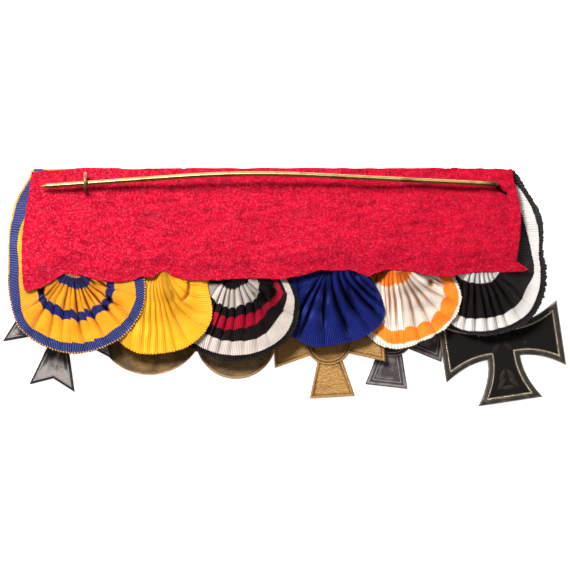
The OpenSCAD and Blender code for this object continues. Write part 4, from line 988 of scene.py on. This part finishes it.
# small disc: raised rim, short rays inside it and a double line low in the field
smallDisc = dict(at=(-17.377, -18.154, 2.015), lean=4.317, eyelet=15.75, rays=(10.6, 12.9))
near, far = smallDisc["rays"]
rays = [(*barRelief(near * math.cos(t), near * math.sin(t), far * math.cos(t), far * math.sin(t), 0.62, 0.26), 0.7)
        for t in np.radians(np.arange(190, 352, 9))]
medalPiece("disc_bronze", [
    turned([(11.0, 0.62, 0), (13.1, 0.63, -0.4), (13.5, 0.66, -0.8), (13.75, 0.87, 0.7), (14.3, 0.88, 1),
            (14.55, 0.62, 0.6)]),
    eyeletParts(smallDisc["eyelet"]), (*barRelief(-6.0, -10.4, 5.4, -10.9, 0.66, 0.4), 0.9),
    (*barRelief(-5.2, -11.4, 4.8, -11.8, 0.66, 0.25), 0.6)] + rays, smallDisc, wornBronze, "bronze", "small_disc")


# round centre of a cross with two raised rings, at half thickness t
def bossRows(radius, t):
    return [(0.5 * radius, t - 0.08, 0.2), (0.78 * radius, t - 0.08, -0.6), (0.80 * radius, t + 0.1, 0.6),
            (0.845 * radius, t + 0.1, 0.6), (0.865 * radius, t - 0.1, -1), (0.905 * radius, t - 0.1, -1),
            (0.93 * radius, t + 0.22, 1), (0.975 * radius, t + 0.22, 1), (radius, t - 0.1, -1)]


# gilt cross: granular field inside a plain border, round centre with two rings
giltCross = dict(at=(15.731, -19.412, 3.018), turn=3.5, lean=6.054, half=19.9, end=8.24, corner=3.58, steps=6,
                 boss=(8.28, 0.98), eyelet=21.1)
medalPiece("cross_gilt", [
    struckPlate(giltCross, [(0, 0.30, -0.2), (0.22, 0.66, 0.4), (0.35, 0.84, 1), (0.85, 0.84, 0.8), (1.05, 0.60, -1),
                            (1.25, 0.59, -0.5), (1.9, 0.59, 0.2)]),
    turned(bossRows(*giltCross["boss"])),
    eyeletParts(giltCross["eyelet"])], giltCross, matGilt, "gilt", "gilt_cross")

# grey cross: double line border
greyCross = dict(at=(38.416, -16.945, 1.12), turn=-6.5, nod=0.924, half=18.6, end=7.66, corner=3.53, steps=6,
                 boss=(7.74, 0.92), eyelet=19.8)
medalPiece("cross_grey", [
    struckPlate(greyCross, [(0, 0.30, -0.6), (0.4, 0.72, -0.4), (0.5, 0.79, 0.3), (1.1, 0.79, 0.1), (1.25, 0.56, -1),
                            (1.75, 0.56, -0.8), (1.88, 0.74, 1), (2.15, 0.74, 1), (2.3, 0.55, -1), (2.8, 0.55, -0.2)]),
    turned(bossRows(*greyCross["boss"])),
    eyeletParts(greyCross["eyelet"])], greyCross, greySilver, "grey_silver", "grey_cross")

# black cross: silver frame with a bead line, blackened core with shallow leaves.
# leaves: (distance out, long, wide) in the middle, then (x, y, degrees) of the group at the foot
blackCross = dict(at=(77.456, -19.307, 2.574), turn=8.5, lean=-3.336, half=21.75, end=11.88, corner=5.916,
                  bend=1.9, steps=14, eyelet=22.95, beadInset=2.05, beadStep=0.62, leafZ=0.72, middle=(3.4, 4.4, 2.0),
                  foot=[(-1.5, -12.0, 62), (1.5, -12.0, 118), (-2.2, -15.0, 50), (2.2, -15.0, 130), (0, -16.6, 0)])
frameRows = [(0, 0.40, 0.2), (0.22, 0.78, 0.9), (0.45, 0.85, -0.3), (1.3, 1.10, -1), (1.5, 1.12, 0.3), (1.66, 0.98, -1),
             (2.4, 0.98, -0.3), (2.5, 0.85, 0.6), (2.5, 0.35, 0)]


# places an even step apart along a closed outline
def evenPlaces(path, step):
    ring = np.concatenate([path, path[:1]])
    reach = reachAlong(ring)
    at = np.linspace(0, reach[-1], int(reach[-1] / step), endpoint=False)
    return np.stack([np.interp(at, reach, ring[:, k]) for k in range(2)], -1)


# a bead at each place: a dome of three rings of eight, closed below, up or down as z is
def beads(places, z, radius=0.33):
    a = np.linspace(0, 2 * np.pi, 8, endpoint=False)
    k = math.copysign(1, z)
    rings = [(0.35, 0.94), (0.75, 0.66), (1, 0.0)]
    dome = np.concatenate([np.stack([r * np.cos(a), k * r * np.sin(a), np.full(8, k * h)], -1) for r, h in rings])
    points = np.column_stack([places, np.full(len(places), z)])[:, None] + radius * dome[None]
    faces = [[i + 24 * n for i in face] for n in range(len(places)) for face in cappedFaces(3, 8)]
    return points, faces


medalPiece("cross_frame", [frameRing(blackCross, frameRows), eyeletParts(blackCross["eyelet"])], blackCross,
           frameSilver, "frame_silver", "black_cross_frame")
places = evenPlaces(crossOutline(blackCross, blackCross["beadInset"]), blackCross["beadStep"])
medalPiece("cross_frame_beads", [beads(places, 0.97), beads(places, -0.97)], blackCross, beadSilver,
           "frame_silver", "black_cross_frame", 60)
out, *size = blackCross["middle"]
leaves = [(*leafRelief(out * math.cos(a), out * math.sin(a), blackCross["leafZ"], *size, math.degrees(a)), 0.12)
          for a in np.radians([45, 135, 225, 315])]
leaves += [(*leafRelief(x, y, blackCross["leafZ"], 5.0, 1.7, a), 0.3) for x, y, a in blackCross["foot"]]
medalPiece("cross_core", [struckPlate(blackCross, [(1.7, 0.5, 0), (1.8, 0.74, 0), (2.6, 0.74, 0)])] + leaves,
           blackCross, blackIron, "black_iron", "black_cross_core")
for number in hooks:
    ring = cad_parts[f"jump_ring_{number}"]
    ring.data.materials.clear()
    ring.data.materials.append(ringMetal)
print("medals made")

# floor, light and camera, in metres. sky: heights from and to which it brightens, and how bright.
# aimZ: the height in focus of the view's width, across.
studio = dict(floorSize=6, floorZ=-0.00005, keyPower=26.0, keySize=0.36, keyAt=(-0.36, 0.56, 0.97),
              fillPower=1.0, fillSize=0.8, fillAt=(0.5, -0.7, 0.9), sky=(-0.1, 0.8, 0.28, 0.55),
              cameraAt=(0.0001, 0.0009, 3.0), aimZ=0.006, across=0.2035, sensor=36)
bpy.ops.mesh.primitive_plane_add(size=studio["floorSize"], location=(0, 0, studio["floorZ"]))
floor = bpy.context.object
floor.name = "floor"
# white matt paper, lit from within a little so that the ground stays white
paper = newMaterial("white paper", {"Base Color": "#FFFFFF", "Roughness": 0.9, "Emission Color": "#FFFFFF",
                                    "Emission Strength": 0.8})[0]
floor.data.materials.append(paper)


# a round lamp that looks at the origin
def areaLight(name, at, power, size):
    light = bpy.data.lights.new(name, "AREA")
    light.shape, light.size, light.energy = "DISK", size, power
    lamp = bpy.data.objects.new(name, light)
    lamp.location = at
    lamp.rotation_euler = (math.atan2(math.hypot(at[0], at[1]), at[2]), 0, math.atan2(at[0], -at[1]))
    scene.collection.objects.link(lamp)


areaLight("key", studio["keyAt"], studio["keyPower"], studio["keySize"])
areaLight("fill", studio["fillAt"], studio["fillPower"], studio["fillSize"])
world = bpy.data.worlds.new("studio") if scene.world is None else scene.world
scene.world = world
world.use_nodes = True
tree = world.node_tree
sky = addNode(tree, "SeparateXYZ", {}, [addNode(tree, "TexCoord").outputs["Generated"]])
bright = addNode(tree, "MapRange", {"interpolation_type": "SMOOTHSTEP"}, [sky.outputs[1], *studio["sky"]])
tree.links.new(bright.outputs[0], tree.nodes["Background"].inputs["Strength"])
tree.nodes["Background"].inputs["Color"].default_value = (1, 1, 1, 1)
scene.view_settings.view_transform = "Standard"

lens = bpy.data.cameras.new("camera")
lens.sensor_width = studio["sensor"]
lens.lens = lens.sensor_width * (studio["cameraAt"][2] - studio["aimZ"]) / studio["across"]
lens.clip_end = 20
camera = bpy.data.objects.new("camera", lens)
camera.location = studio["cameraAt"]
scene.collection.objects.link(camera)
scene.camera = camera
